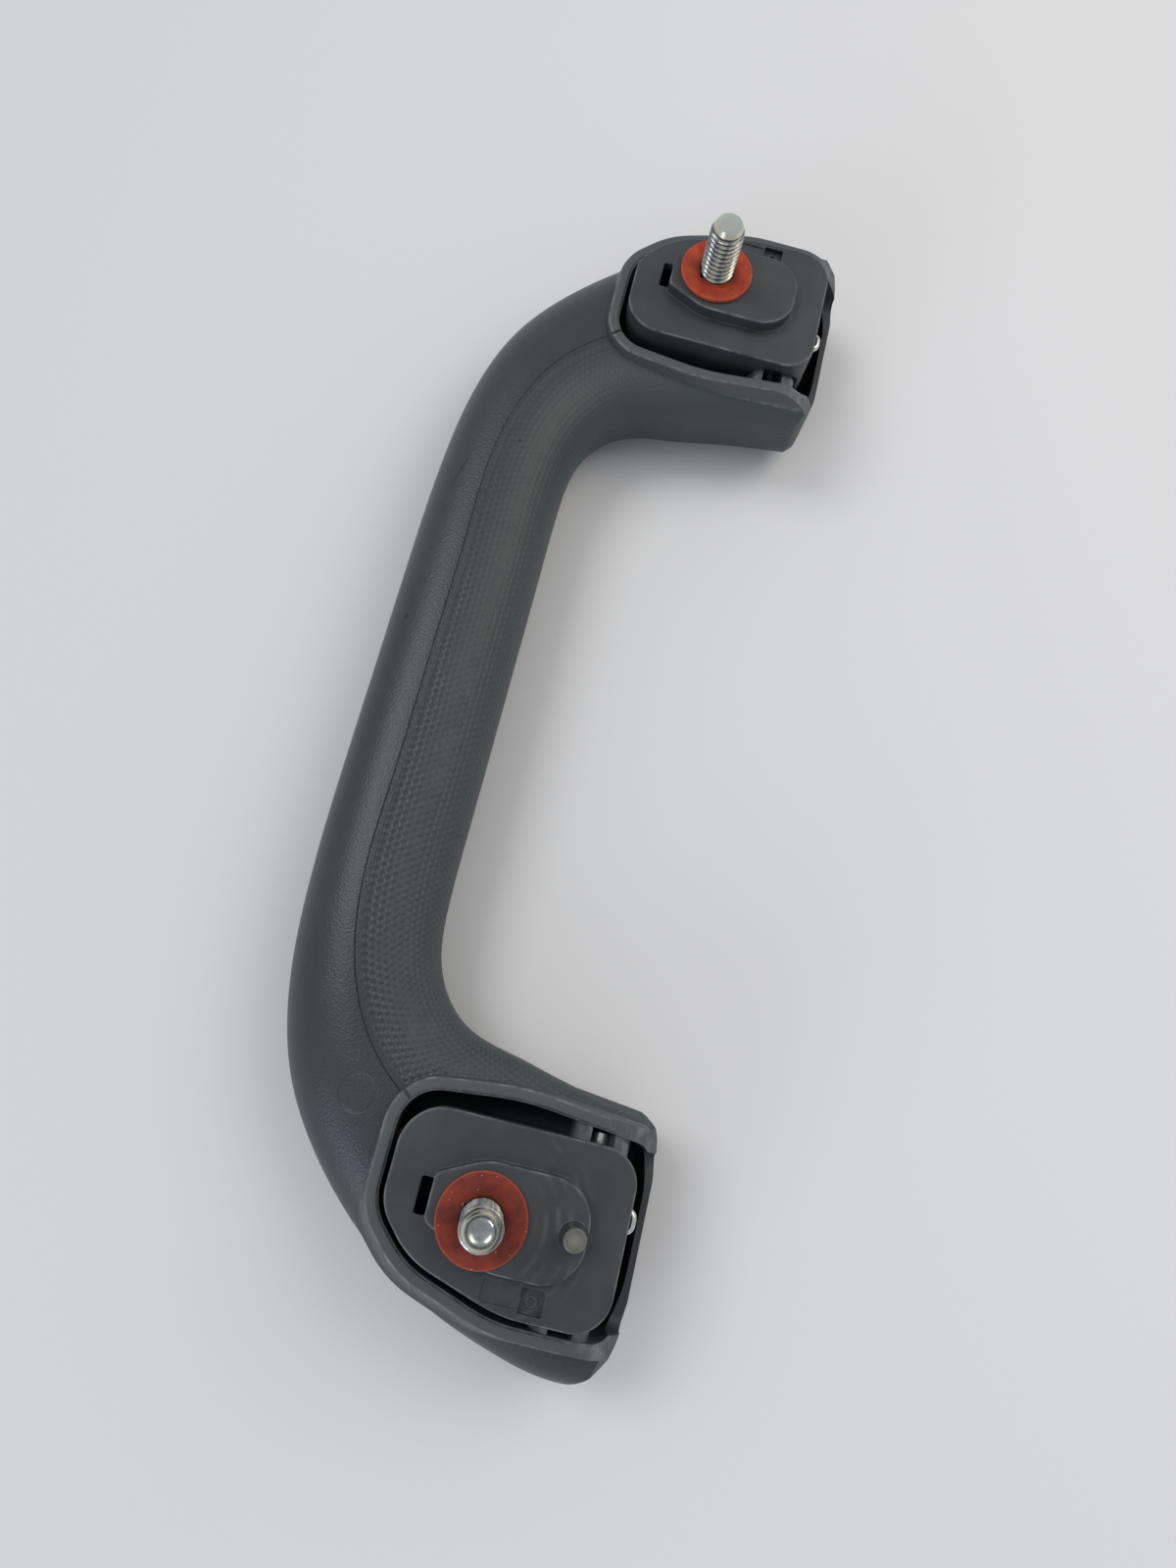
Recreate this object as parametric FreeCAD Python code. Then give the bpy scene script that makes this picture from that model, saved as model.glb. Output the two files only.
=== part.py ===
import FreeCAD, Part
import math
import os

# Roof grab handle, modelled with its mounting side up.
# X runs along the line of the two bolts, +Y points from that line to the grip bar and +Z is the
# way the bolts point. The origin lies midway between the bolts, on the plane of the two washers'
# outer faces, which meet the roof. Heights are given as drops below the mounting pads.
# Outlines are written for the +X end as (u, v): u outward from the bolt, v along Y.
# All lengths are in millimetres.

V = FreeCAD.Vector

# Working values: how far joined forms share material, how far a cut passes the face it opens, the
# share of a straight run that one corner may use, and the distance at which places count as equal
OVERLAP = 0.3
OVERSHOOT = 1.0
CORNER_SHARE = 0.48
SAME_PLACE = 1e-4

# Driving sizes of the whole handle
BOLT_PITCH = 163.0
FINGER_EDGE_Y = 17.1
BAR_WIDTH = 23.0
BAR_THICKNESS = 19.8
BAR_TOP_DROP = 6.4
RIM_DROP = 5.0

# Bracket plate, its skirt and the raised pad that meets the roof
PLATE_DROP = 2.5
PLATE_THICKNESS = 1.8
PLATE_FINGER_SIDE = 13.2
PLATE_OUTER_SIDE = 11.9
PLATE_NOSE = 14.2
PLATE_TAIL_FROM_PIN = 6.0
SKIRT_WALL = 1.8
SKIRT_DEPTH = 11.5
TAIL_SKIRT_DEPTH = 9.5
EDGE_ROUND = 0.4
PAD_FINGER_SIDE = 7.8
PAD_OUTER_SIDE = 6.5
PAD_NOSE = 7.8
PAD_TAIL_INSET = 5.6
RELEASE_SLOT_WIDTH = 5.2
RELEASE_SLOT_LENGTH = 1.7
RELEASE_SLOT_SHIFT = 1.0
RELEASE_SLOT_ROUND = 0.4
GATE_RECESS_SIZE = 3.4
GATE_RECESS_DEPTH = 0.9
GATE_RECESS_U = 9.1
GATE_RECESS_V = -9.5
GATE_RECESS_ROUND = 0.2
GATE_RING_RADIUS = 0.85
GATE_RING_WALL = 0.3
GATE_RING_HEIGHT = 0.35
PANEL_WIDTH = 3.0
PANEL_LENGTH = 5.4
PANEL_DEPTH = 0.2
PANEL_ROUND = 0.5
PANEL_U = 8.9
PANEL_V = -5.0
PEG_BASE_RADIUS = 2.2
PEG_TIP_RADIUS = 1.6
PEG_HEIGHT = 3.2
PEG_U = -0.6
PEG_TAIL_INSET = 2.1

# Cup that holds a bracket
NOSE_GAP = 0.9
OUTER_GAP = 1.3
FINGER_GAP = 2.9
TAIL_GAP = 2.9
OUTER_WALL = 7.4
FINGER_WALL = 3.4
TAIL_WALL = 1.6
CUP_FLOOR_THICKNESS = 3.0
CUP_FLOOR_ROUND = 2.6
RIM_WIDTH = 2.0
RIM_FLARE = 1.3
RIM_FLARE_DEPTH = 5.0
SIDE_WALL_SWEEP = 11.0
TAIL_ROLL_LENGTH = 7.5
TAIL_ROLL_INSET = 5.5
TAIL_ROLL_STAND_OFF = 0.3
TAIL_ROLL_CORNER = 6.0
TAIL_ROLL_ANGLES = (0, 25, 50, 70, 90)
TAIL_OPENING_FINGER_INSET = 2.6
TAIL_OPENING_OUTER_INSET = 1.2
TAIL_OPENING_ROUND = 2.0
TAIL_OPENING_START = 3.0
SWING_CLEARANCE = 0.4
REST_RIB_WIDTH = 2.0
REST_RIB_REACH = 1.4
REST_RIB_SPACING = 8.0
REST_RIB_ROUND = 0.5
REST_RIB_U = -3.0
REST_GAP = 0.3
PARTING_NOTCH_WIDTH = 0.5
PARTING_NOTCH_DEPTH = 0.5
PARTING_NOTCH_ANGLE = 128.0
PARTING_NOTCH_U_INSET = 3.4
PARTING_NOTCH_V_INSET = 1.4

# Hinge
PIN_RADIUS = 1.5
PIN_DROP = 9.8
PIN_END_GAP = 0.3
PIN_CHAMFER = 0.3
PIN_RUNNING_FIT = 0.05
PIN_SEAT_FIT = 0.02
PIN_SNAP_BITE = 0.2
PIN_SNAP_LEAD_IN = 0.5
SADDLE_RADIUS = 4.6
SADDLE_CLEARANCE = 0.6
SADDLE_REACH = 3.6
SADDLE_ROOT = 1.5
SADDLE_BOX_ROOM = 1.7
FINGER_WALL_CROWN = 0.9
CHEEK_GAP = 0.4
CHEEK_WALL = 1.8
CHEEK_BOSS_RADIUS = 4.2
CHEEK_TOE_ROUND = 2.0

# Return spring: two close coils on the pin, joined by one long loop. Angles are in degrees
FULL_TURN = 360.0
WIRE_RADIUS = 0.55
COIL_GAP = 0.25
COIL_TURNS = 3
COIL_PITCH = 1.14
COIL_SPARE_TURN = 0.25
COIL_SIDE_GAP = 0.15
LOOP_WIDTH = 2.7
LOOP_STAND_OUT = 1.4
LOOP_DROP = 6.4
LEG_SLOPE = 75.0
LEG_FLOOR_GAP = 0.3
LOOP_SLOT_CLEARANCE = 0.5

# Screw, washer, bush and screw cover
SCREW_RADIUS = 3.0
SCREW_SHANK_RADIUS = 2.7
SCREW_LENGTH = 20.0
SCREW_STAND_OUT = 11.5
SCREW_TIP_CHAMFER = 0.9
SCREW_FLANGE_RADIUS = 6.5
SCREW_FLANGE_THICKNESS = 1.2
SCREW_HEX_ACROSS_FLATS = 10.0
SCREW_HEAD_HEIGHT = 6.0
SCREW_SOCKET_RADIUS = 2.8
SCREW_SOCKET_DEPTH = 3.0
WASHER_RADIUS = 6.5
WASHER_THICKNESS = 0.8
WASHER_FIT = 0.05
BUSH_RADIUS = 5.0
BUSH_BORE_CLEARANCE = 0.3
BUSH_FIT = 0.02
SCREW_BOSS_WALL = 2.4
BOSS_RIB_WALL = 1.4
BOX_TAIL_ROOM = 0.3
BOX_TAIL_WALL = 1.5
COVER_INSET = 1.0
COVER_DEPTH = 4.4
COVER_FLOOR = 1.5
COVER_ROUND = 2.6
COVER_LIP_HEIGHT = 2.4
COVER_LIP_WALL = 1.0
COVER_LIP_FIT = 0.1

# Places worked out from the driving sizes
BOLT_X = BOLT_PITCH / 2
ROOF = 0.0
PAD_TOP = ROOF - WASHER_THICKNESS
BOX_TAIL = SCREW_FLANGE_RADIUS + BOX_TAIL_ROOM + BOX_TAIL_WALL
PIN_V = -BOX_TAIL - SADDLE_BOX_ROOM - SADDLE_RADIUS
PLATE_TAIL = PLATE_TAIL_FROM_PIN - PIN_V
PAD_TAIL = PLATE_TAIL - PAD_TAIL_INSET
PEG_V = -PAD_TAIL + PEG_TAIL_INSET
LOOP_REACH_V = -PLATE_TAIL - LOOP_STAND_OUT
SCREW_BOSS_RADIUS = BUSH_RADIUS + SCREW_BOSS_WALL
PLATE_TOP = PAD_TOP - PLATE_DROP
PLATE_UNDER = PLATE_TOP - PLATE_THICKNESS
SKIRT_BOTTOM = PLATE_TOP - SKIRT_DEPTH
BAR_TOP = PAD_TOP - BAR_TOP_DROP
FRONT_FACE = BAR_TOP - BAR_THICKNESS
BAR_MIDDLE = BAR_TOP - BAR_THICKNESS / 2
BAR_OUTER_Y = FINGER_EDGE_Y + BAR_WIDTH
RIM_TOP = PAD_TOP - RIM_DROP
CUP_FLOOR = FRONT_FACE + CUP_FLOOR_THICKNESS
CAVITY_FINGER_SIDE = PLATE_FINGER_SIDE + FINGER_GAP
CAVITY_OUTER_SIDE = PLATE_OUTER_SIDE + OUTER_GAP
CAVITY_NOSE = PLATE_NOSE + NOSE_GAP
CAVITY_TAIL = PLATE_TAIL + TAIL_GAP
CUP_FINGER_SIDE = CAVITY_FINGER_SIDE + FINGER_WALL
CUP_OUTER_SIDE = CAVITY_OUTER_SIDE + OUTER_WALL
CUP_TAIL = CAVITY_TAIL + TAIL_WALL
PIN_Z = PAD_TOP - PIN_DROP
SCREW_TIP = PAD_TOP + SCREW_STAND_OUT
SCREW_SEAT = SCREW_TIP - SCREW_LENGTH
COVER_BOTTOM = SKIRT_BOTTOM - COVER_DEPTH

# The tail wall stops below the path of the plate's edge, which swings about the pin
PLATE_SWING_RADIUS = math.hypot(PLATE_TAIL + PIN_V, PLATE_TOP - PIN_Z)
TAIL_ROOM = CAVITY_TAIL + PIN_V - SWING_CLEARANCE
TAIL_WALL_TOP = PIN_Z - math.sqrt(max(PLATE_SWING_RADIUS ** 2 - TAIL_ROOM ** 2, 0.0)) - SWING_CLEARANCE

# Pin ends, in u: the saddles reach inward from the cup's side walls, whose faces lie here
SADDLE_WALL_FINGER = -CAVITY_FINGER_SIDE + FINGER_WALL_CROWN
SADDLE_WALL_OUTER = CAVITY_OUTER_SIDE
SADDLE_FACE_FINGER = SADDLE_WALL_FINGER + SADDLE_REACH
SADDLE_FACE_OUTER = SADDLE_WALL_OUTER - SADDLE_REACH
CHEEK_FACE_FINGER = SADDLE_FACE_FINGER + CHEEK_GAP
CHEEK_FACE_OUTER = SADDLE_FACE_OUTER - CHEEK_GAP
PIN_START = SADDLE_WALL_FINGER + PIN_END_GAP
PIN_END = SADDLE_WALL_OUTER - PIN_END_GAP

# The spring lies beside the narrow cheek, and the knuckle takes up the rest of the pin
HALF_SPRING = LOOP_WIDTH / 2 + (COIL_TURNS + COIL_SPARE_TURN) * COIL_PITCH + WIRE_RADIUS
LOOP_CENTRE_U = CHEEK_FACE_FINGER + CHEEK_WALL + COIL_SIDE_GAP + HALF_SPRING
KNUCKLE_START = LOOP_CENTRE_U + HALF_SPRING + COIL_SIDE_GAP

# Coil centre line
COIL_RADIUS = PIN_RADIUS + COIL_GAP + WIRE_RADIUS


def rounded(points):
    """Closed outline of straight runs joined by tangent arcs. Each point is (a, b, radius)."""
    corners = []
    for i, (a, b, radius) in enumerate(points):
        here = V(a, b, 0)
        back = V(points[i - 1][0], points[i - 1][1], 0) - here
        ahead = V(points[(i + 1) % len(points)][0], points[(i + 1) % len(points)][1], 0) - here
        half = back.getAngle(ahead) / 2
        reach = min(radius / math.tan(half), CORNER_SHARE * back.Length, CORNER_SHARE * ahead.Length)
        back.normalize()
        ahead.normalize()
        bisector = (back + ahead).normalize()
        depth = reach * math.tan(half)
        middle = here + bisector * (depth / math.sin(half) - depth)
        corners.append((here + back * reach, middle, here + ahead * reach, radius > 0))
    edges = []
    for i, (start, middle, end, curved) in enumerate(corners):
        before = corners[i - 1][2]
        if before.distanceToPoint(start) > SAME_PLACE:
            edges.append(Part.LineSegment(before, start).toShape())
        if curved:
            edges.append(Part.Arc(start, middle, end).toShape())
    return Part.Wire(edges)


def at_bolt(wire):
    """Moves an outline from (u, v) to the +X bolt."""
    return wire.translated(V(BOLT_X, 0, 0))


def prism(points, low, high):
    """Upright solid over an outline written in (u, v)."""
    face = Part.Face(at_bolt(rounded(points)))
    return face.translated(V(0, 0, low)).extrude(V(0, 0, high - low))


def cross_prism(points, u_low, u_high):
    """Solid over an outline written in (y, z), running along X between two u values."""
    face = Part.Face(rounded(points))
    face = face.transformGeometry(FreeCAD.Matrix(0, 0, 1, 0, 1, 0, 0, 0, 0, 1, 0, 0, 0, 0, 0, 1))
    return face.translated(V(BOLT_X + u_low, 0, 0)).extrude(V(u_high - u_low, 0, 0))


def rod(radius, u_low, u_high, y=PIN_V, z=PIN_Z):
    """Round bar along X between two u values, on the hinge axis unless placed elsewhere."""
    return Part.makeCylinder(radius, u_high - u_low, V(BOLT_X + u_low, y, z), V(1, 0, 0))


def post(radius, low, high, u=0.0, v=0.0):
    """Round bar along Z, on the bolt axis unless placed elsewhere."""
    return Part.makeCylinder(radius, high - low, V(BOLT_X + u, v, low))


def mirrored(shape):
    """The same piece for the other end of the handle."""
    return shape.mirror(V(0, 0, 0), V(1, 0, 0))


def edges_at(shape, z):
    """Edges of a shape that lie wholly at one height."""
    found = []
    for edge in shape.Edges:
        box = edge.BoundBox
        if abs(box.ZMin - z) < SAME_PLACE and abs(box.ZMax - z) < SAME_PLACE:
            found.append(edge)
    return found


def grow_outline(points, amount):
    """The outline moved outward by an even amount."""
    return rounded(points).makeOffset2D(amount)


# Plan outlines in (u, v, corner radius), from the tail on the finger side, round the nose
PLATE_OUTLINE = (
    (-PLATE_FINGER_SIDE, -PLATE_TAIL, 5.2),
    (-PLATE_FINGER_SIDE, PLATE_NOSE, 6.4),
    (1.5, PLATE_NOSE, 7.0),
    (PLATE_OUTER_SIDE - 4.4, PLATE_NOSE - 5.6, 14.0),
    (PLATE_OUTER_SIDE, PLATE_NOSE - 19.7, 22.0),
    (PLATE_OUTER_SIDE, -PLATE_TAIL, 5.6),
)
CAVITY_OUTLINE = (
    (-CAVITY_FINGER_SIDE + 1.8, -CAVITY_TAIL + 1.5, 3.0),
    (-CAVITY_FINGER_SIDE - 0.4, -2.0, 40.0),
    (-CAVITY_FINGER_SIDE + 1.5, CAVITY_NOSE, 6.0),
    (2.2, CAVITY_NOSE, 7.5),
    (CAVITY_OUTER_SIDE - 4.6, CAVITY_NOSE - 6.3, 14.0),
    (CAVITY_OUTER_SIDE, CAVITY_NOSE - 20.1, 22.0),
    (CAVITY_OUTER_SIDE, -CAVITY_TAIL + 1.9, 3.2),
    (7.0, -CAVITY_TAIL, 20.0),
    (-9.0, -CAVITY_TAIL, 20.0),
)
PAD_OUTLINE = (
    (-PAD_FINGER_SIDE, -PAD_TAIL, 6.0),
    (-PAD_FINGER_SIDE, 1.0, 8.0),
    (-PAD_FINGER_SIDE + 3.2, PAD_NOSE, 1.2),
    (PAD_OUTER_SIDE - 4.6, PAD_NOSE, 1.5),
    (PAD_OUTER_SIDE, -1.5, 10.0),
    (PAD_OUTER_SIDE, -PAD_TAIL, 6.0),
)
# Sections of the grip from the middle of the bar to past the cup's tail. Each has its finger edge
# and its outer edge as (u, y), and how square its upper finger, upper outer and lower quarters are:
# 2 is an ellipse and higher numbers are boxier.
GRIP_SECTIONS = (
    (-BOLT_X, FINGER_EDGE_Y, -BOLT_X, BAR_OUTER_Y, 2.3, 2.2, 2.3),
    (-59.5, FINGER_EDGE_Y, -59.5, BAR_OUTER_Y, 2.3, 2.2, 2.3),
    (-43.5, FINGER_EDGE_Y - 0.1, -39.5, BAR_OUTER_Y - 0.5, 2.3, 2.1, 2.3),
    (-35.0, FINGER_EDGE_Y - 1.1, -24.5, BAR_OUTER_Y - 2.3, 2.4, 2.0, 2.3),
    (-29.5, FINGER_EDGE_Y - 3.6, -11.6, BAR_OUTER_Y - 6.6, 2.6, 1.95, 2.4),
    (-25.6, FINGER_EDGE_Y - 7.5, -0.3, BAR_OUTER_Y - 14.7, 3.0, 2.0, 2.5),
    (-CUP_FINGER_SIDE - 4.1, FINGER_EDGE_Y - 12.1, CUP_OUTER_SIDE - 12.2, 15.8, 3.7, 2.25, 2.7),
    (-CUP_FINGER_SIDE - 2.9, -0.5, CUP_OUTER_SIDE - 5.7, 5.1, 4.4, 2.6, 3.0),
    (-CUP_FINGER_SIDE - 1.3, -7.0, CUP_OUTER_SIDE - 1.9, -5.6, 4.8, 2.9, 3.2),
    (-CUP_FINGER_SIDE, -13.5, CUP_OUTER_SIDE - 0.1, -13.5, 5.0, 3.0, 3.2),
    (-CUP_FINGER_SIDE + 1.0, -20.0, CUP_OUTER_SIDE + 0.1, -20.0, 5.0, 3.0, 3.2),
    (-CUP_FINGER_SIDE + 2.4, -CUP_TAIL - 4.0, CUP_OUTER_SIDE + 0.1, -CUP_TAIL - 4.0, 5.0, 3.0, 3.2),
)
QUARTER_POINTS = 8

# Limits of the +X half: its plan as (u, v, corner radius), and its side as (y, z, corner radius)
FAR = BOLT_X + BAR_OUTER_Y
BELOW_FRONT = FRONT_FACE - OVERLAP
BAR_START_V = 6.0
HALF_PLAN = (
    (-CUP_FINGER_SIDE + 1.1, -CUP_TAIL + 2.1, 5.5),
    (-CUP_FINGER_SIDE - 6.0, BAR_START_V, 0),
    (-BOLT_X, BAR_START_V, 0),
    (-BOLT_X, FAR, 0),
    (FAR, FAR, 0),
    (CUP_OUTER_SIDE + 0.5, 0.0, 0),
    (CUP_OUTER_SIDE + 0.2, -CUP_TAIL + 3.1, 5.2),
    (7.0, -CUP_TAIL, 25.0),
    (-10.0, -CUP_TAIL, 25.0),
)
HALF_SIDE = (
    (-CUP_TAIL, BELOW_FRONT, 0),
    (FAR, BELOW_FRONT, 0),
    (FAR, RIM_TOP, 0),
    (-CUP_TAIL, RIM_TOP, SIDE_WALL_SWEEP),
)


def oval_section(section, side):
    """One section of the grip as four quarter curves. side is 1 at the +X end and -1 at the other."""
    finger_u, finger_y, outer_u, outer_y, square_finger, square_outer, square_lower = section
    finger = V(side * (BOLT_X + finger_u), finger_y, BAR_MIDDLE)
    outer = V(side * (BOLT_X + outer_u), outer_y, BAR_MIDDLE)
    middle = (finger + outer) / 2
    across = (outer - finger) / 2
    up = V(0, 0, BAR_THICKNESS / 2)
    quarters = (
        (across, up, square_outer),
        (up, across * -1, square_finger),
        (across * -1, up * -1, square_lower),
        (up * -1, across, square_lower),
    )
    edges = []
    for begin, finish, square in quarters:
        points = []
        for i in range(QUARTER_POINTS + 1):
            turn = math.pi / 2 * i / QUARTER_POINTS
            points.append(
                middle
                + begin * math.cos(turn) ** (2 / square)
                + finish * math.sin(turn) ** (2 / square)
            )
        points[0] = middle + begin
        points[-1] = middle + finish
        curve = Part.BSplineCurve()
        curve.interpolate(Points=points, InitialTangent=finish, FinalTangent=begin * -1)
        edges.append(curve.toShape())
    return Part.Wire(edges)


def grip_body():
    """The moulding's outer form: one smooth skin through all the sections, end to end."""
    wires = [oval_section(section, -1) for section in reversed(GRIP_SECTIONS)]
    wires += [oval_section(section, 1) for section in GRIP_SECTIONS[1:]]
    return Part.makeLoft(wires, True, False)


def rim():
    """Raised band round the mouth of the +X cup. Its outside flares into the body."""
    top = at_bolt(grow_outline(CAVITY_OUTLINE, RIM_WIDTH)).translated(V(0, 0, RIM_TOP))
    foot = at_bolt(grow_outline(CAVITY_OUTLINE, RIM_WIDTH + RIM_FLARE))
    foot = foot.translated(V(0, 0, RIM_TOP - RIM_FLARE_DEPTH))
    return Part.makeLoft([top, foot], True, True)


def cup_tail_form():
    """Room that the +X half may fill: its tail rounded, its side walls swept down at the top."""
    form = prism(HALF_PLAN, BELOW_FRONT, RIM_TOP).common(cross_prism(HALF_SIDE, -BOLT_X, FAR))
    roll_start = -CUP_TAIL + TAIL_ROLL_LENGTH
    beyond = Part.makeBox(FAR + BOLT_X, CUP_TAIL, RIM_TOP - BELOW_FRONT)
    beyond = beyond.translated(V(-BOLT_X, roll_start - CUP_TAIL, BELOW_FRONT))
    return form.cut(beyond.cut(tail_roll()))


def tail_roll():
    """Room inside the cup's rounded end, where its sides and front roll in towards the tail wall."""
    wires = []
    for angle in TAIL_ROLL_ANGLES:
        turn = math.radians(angle)
        inset = (TAIL_ROLL_INSET + TAIL_ROLL_STAND_OFF) * (1 - math.cos(turn)) - TAIL_ROLL_STAND_OFF
        low_u = -CUP_FINGER_SIDE + inset
        high_u = CUP_OUTER_SIDE - inset
        outline = (
            (low_u, RIM_TOP + OVERSHOOT, 0),
            (low_u, FRONT_FACE + inset, TAIL_ROLL_CORNER),
            (high_u, FRONT_FACE + inset, TAIL_ROLL_CORNER),
            (high_u, RIM_TOP + OVERSHOOT, 0),
        )
        wire = rounded(outline)
        wire.rotate(V(0, 0, 0), V(1, 0, 0), 90)
        wires.append(wire.translated(V(BOLT_X, -CUP_TAIL + TAIL_ROLL_LENGTH * (1 - math.sin(turn)), 0)))
    return Part.makeLoft(wires, True, False)


def cup_cavity():
    """Hollow of the +X cup, its floor rounded, open over the low tail wall."""
    hollow = prism(CAVITY_OUTLINE, CUP_FLOOR, RIM_TOP + OVERSHOOT)
    hollow = hollow.makeFillet(CUP_FLOOR_ROUND, edges_at(hollow, CUP_FLOOR))
    low_u = -CAVITY_FINGER_SIDE + TAIL_OPENING_FINGER_INSET
    high_u = CAVITY_OUTER_SIDE - TAIL_OPENING_OUTER_INSET
    opening = (
        (low_u, TAIL_WALL_TOP, TAIL_OPENING_ROUND),
        (high_u, TAIL_WALL_TOP, TAIL_OPENING_ROUND),
        (high_u, RIM_TOP + OVERSHOOT, 0),
        (low_u, RIM_TOP + OVERSHOOT, 0),
    )
    face = Part.Face(rounded(opening))
    face.rotate(V(0, 0, 0), V(1, 0, 0), 90)
    start = -CAVITY_TAIL + TAIL_OPENING_START
    length = start + CUP_TAIL + OVERSHOOT
    return hollow.fuse(face.translated(V(BOLT_X, start, 0)).extrude(V(0, -length, 0)))


def saddle(wall_u, face_u):
    """Round boss on a cup wall with a snap-in seat for the pin, open at the top."""
    low = min(wall_u, face_u)
    high = max(wall_u, face_u)
    boss = rod(SADDLE_RADIUS, low, high)
    seat = PIN_RADIUS + PIN_SEAT_FIT
    mouth = PIN_RADIUS - PIN_SNAP_BITE
    throat = (
        (PIN_V - mouth, PIN_Z, 0),
        (PIN_V + mouth, PIN_Z, 0),
        (PIN_V + mouth + PIN_SNAP_LEAD_IN, PIN_Z + SADDLE_RADIUS, 0),
        (PIN_V - mouth - PIN_SNAP_LEAD_IN, PIN_Z + SADDLE_RADIUS, 0),
    )
    low -= OVERSHOOT
    high += OVERSHOOT
    return boss.cut(rod(seat, low, high)).cut(cross_prism(throat, low, high))


def rest_ribs():
    """Two ribs on the cup's nose wall that the closed bracket comes down to."""
    ribs = []
    for side in (-1, 1):
        low = REST_RIB_U + (side * REST_RIB_SPACING - REST_RIB_WIDTH) / 2
        high = low + REST_RIB_WIDTH
        face = CAVITY_NOSE - REST_RIB_REACH
        outline = (
            (low, face, REST_RIB_ROUND),
            (high, face, REST_RIB_ROUND),
            (high, CAVITY_NOSE + OVERSHOOT, 0),
            (low, CAVITY_NOSE + OVERSHOOT, 0),
        )
        ribs.append(prism(outline, CUP_FLOOR - OVERLAP, SKIRT_BOTTOM - REST_GAP))
    return ribs


def parting_notch():
    """Nick where the mould's parting line crosses the rim."""
    block = Part.makeBox(3 * RIM_WIDTH, PARTING_NOTCH_WIDTH, 2 * PARTING_NOTCH_DEPTH)
    block.translate(V(-RIM_WIDTH, -PARTING_NOTCH_WIDTH / 2, -PARTING_NOTCH_DEPTH))
    block.rotate(V(0, 0, 0), V(0, 0, 1), PARTING_NOTCH_ANGLE)
    u = -CAVITY_FINGER_SIDE + PARTING_NOTCH_U_INSET
    return block.translated(V(BOLT_X + u, CAVITY_NOSE - PARTING_NOTCH_V_INSET, RIM_TOP))


def grip():
    """The one-piece moulding: bar, two cups, rims, pin saddles and rest ribs."""
    body = grip_body()
    body = body.fuse(rim()).fuse(mirrored(rim()))
    allowed = cup_tail_form()
    body = body.common(allowed.fuse(mirrored(allowed)))
    removed = [cup_cavity(), parting_notch()]
    added = rest_ribs()
    added.append(saddle(SADDLE_WALL_FINGER - SADDLE_ROOT, SADDLE_FACE_FINGER))
    added.append(saddle(SADDLE_WALL_OUTER + SADDLE_ROOT, SADDLE_FACE_OUTER))
    for form in removed:
        body = body.cut(form).cut(mirrored(form))
    for form in added:
        body = body.fuse(form).fuse(mirrored(form))
    return body.removeSplitter()


def inset_prism(inset, low, high, tail_v=-PLATE_TAIL - OVERSHOOT):
    """Upright solid inside the plate's outline, cut off square at tail_v."""
    outline = grow_outline(PLATE_OUTLINE, -inset) if inset else rounded(PLATE_OUTLINE)
    solid = Part.Face(at_bolt(outline)).translated(V(0, 0, low)).extrude(V(0, 0, high - low))
    tail = Part.makeBox(4 * PLATE_FINGER_SIDE, 2 * PLATE_TAIL, high - low)
    return solid.cut(tail.translated(V(BOLT_X - 2 * PLATE_FINGER_SIDE, tail_v - 2 * PLATE_TAIL, low)))


def small_panel(u, v, width, length, depth, corner):
    """Shallow sunk panel in the plate's top, centred at (u, v)."""
    outline = (
        (u - width / 2, v - length / 2, corner),
        (u + width / 2, v - length / 2, corner),
        (u + width / 2, v + length / 2, corner),
        (u - width / 2, v + length / 2, corner),
    )
    return prism(outline, PLATE_TOP - depth, PLATE_TOP + OVERSHOOT)


def hollow_plate():
    """The bracket's plate with its skirt, lower at the tail, and the raised pad."""
    body = prism(PLATE_OUTLINE, SKIRT_BOTTOM, PLATE_TOP)
    body = body.makeFillet(EDGE_ROUND, edges_at(body, PLATE_TOP))
    body = body.cut(inset_prism(SKIRT_WALL, SKIRT_BOTTOM - OVERSHOOT, PLATE_UNDER))
    below_tail = inset_prism(-OVERSHOOT, SKIRT_BOTTOM - OVERSHOOT, PLATE_TOP - TAIL_SKIRT_DEPTH)
    box_part = inset_prism(-OVERSHOOT, SKIRT_BOTTOM - OVERSHOOT, PLATE_TOP, -BOX_TAIL)
    body = body.cut(below_tail.cut(box_part))
    pad = prism(PAD_OUTLINE, PLATE_TOP - OVERLAP, PAD_TOP)
    return body.fuse(pad.makeFillet(EDGE_ROUND, edges_at(pad, PAD_TOP)))


def screw_box():
    """Inside of the bracket's nose: closing wall, screw boss and the ribs that brace the boss."""
    top = PLATE_UNDER + OVERLAP
    wall = inset_prism(SKIRT_WALL / 2, SKIRT_BOTTOM, top, -BOX_TAIL)
    wall = wall.cut(inset_prism(0, SKIRT_BOTTOM, top, -BOX_TAIL + BOX_TAIL_WALL))
    form = wall.fuse(post(SCREW_BOSS_RADIUS, SCREW_SEAT, top))
    room = inset_prism(SKIRT_WALL / 2, SCREW_SEAT, top, -BOX_TAIL)
    for turn in (0, 90):
        rib = Part.makeBox(4 * PLATE_FINGER_SIDE, BOSS_RIB_WALL, top - SCREW_SEAT)
        rib.translate(V(-2 * PLATE_FINGER_SIDE, -BOSS_RIB_WALL / 2, SCREW_SEAT))
        rib.rotate(V(0, 0, 0), V(0, 0, 1), turn)
        form = form.fuse(rib.translated(V(BOLT_X, 0, 0)).common(room))
    return form


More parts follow.
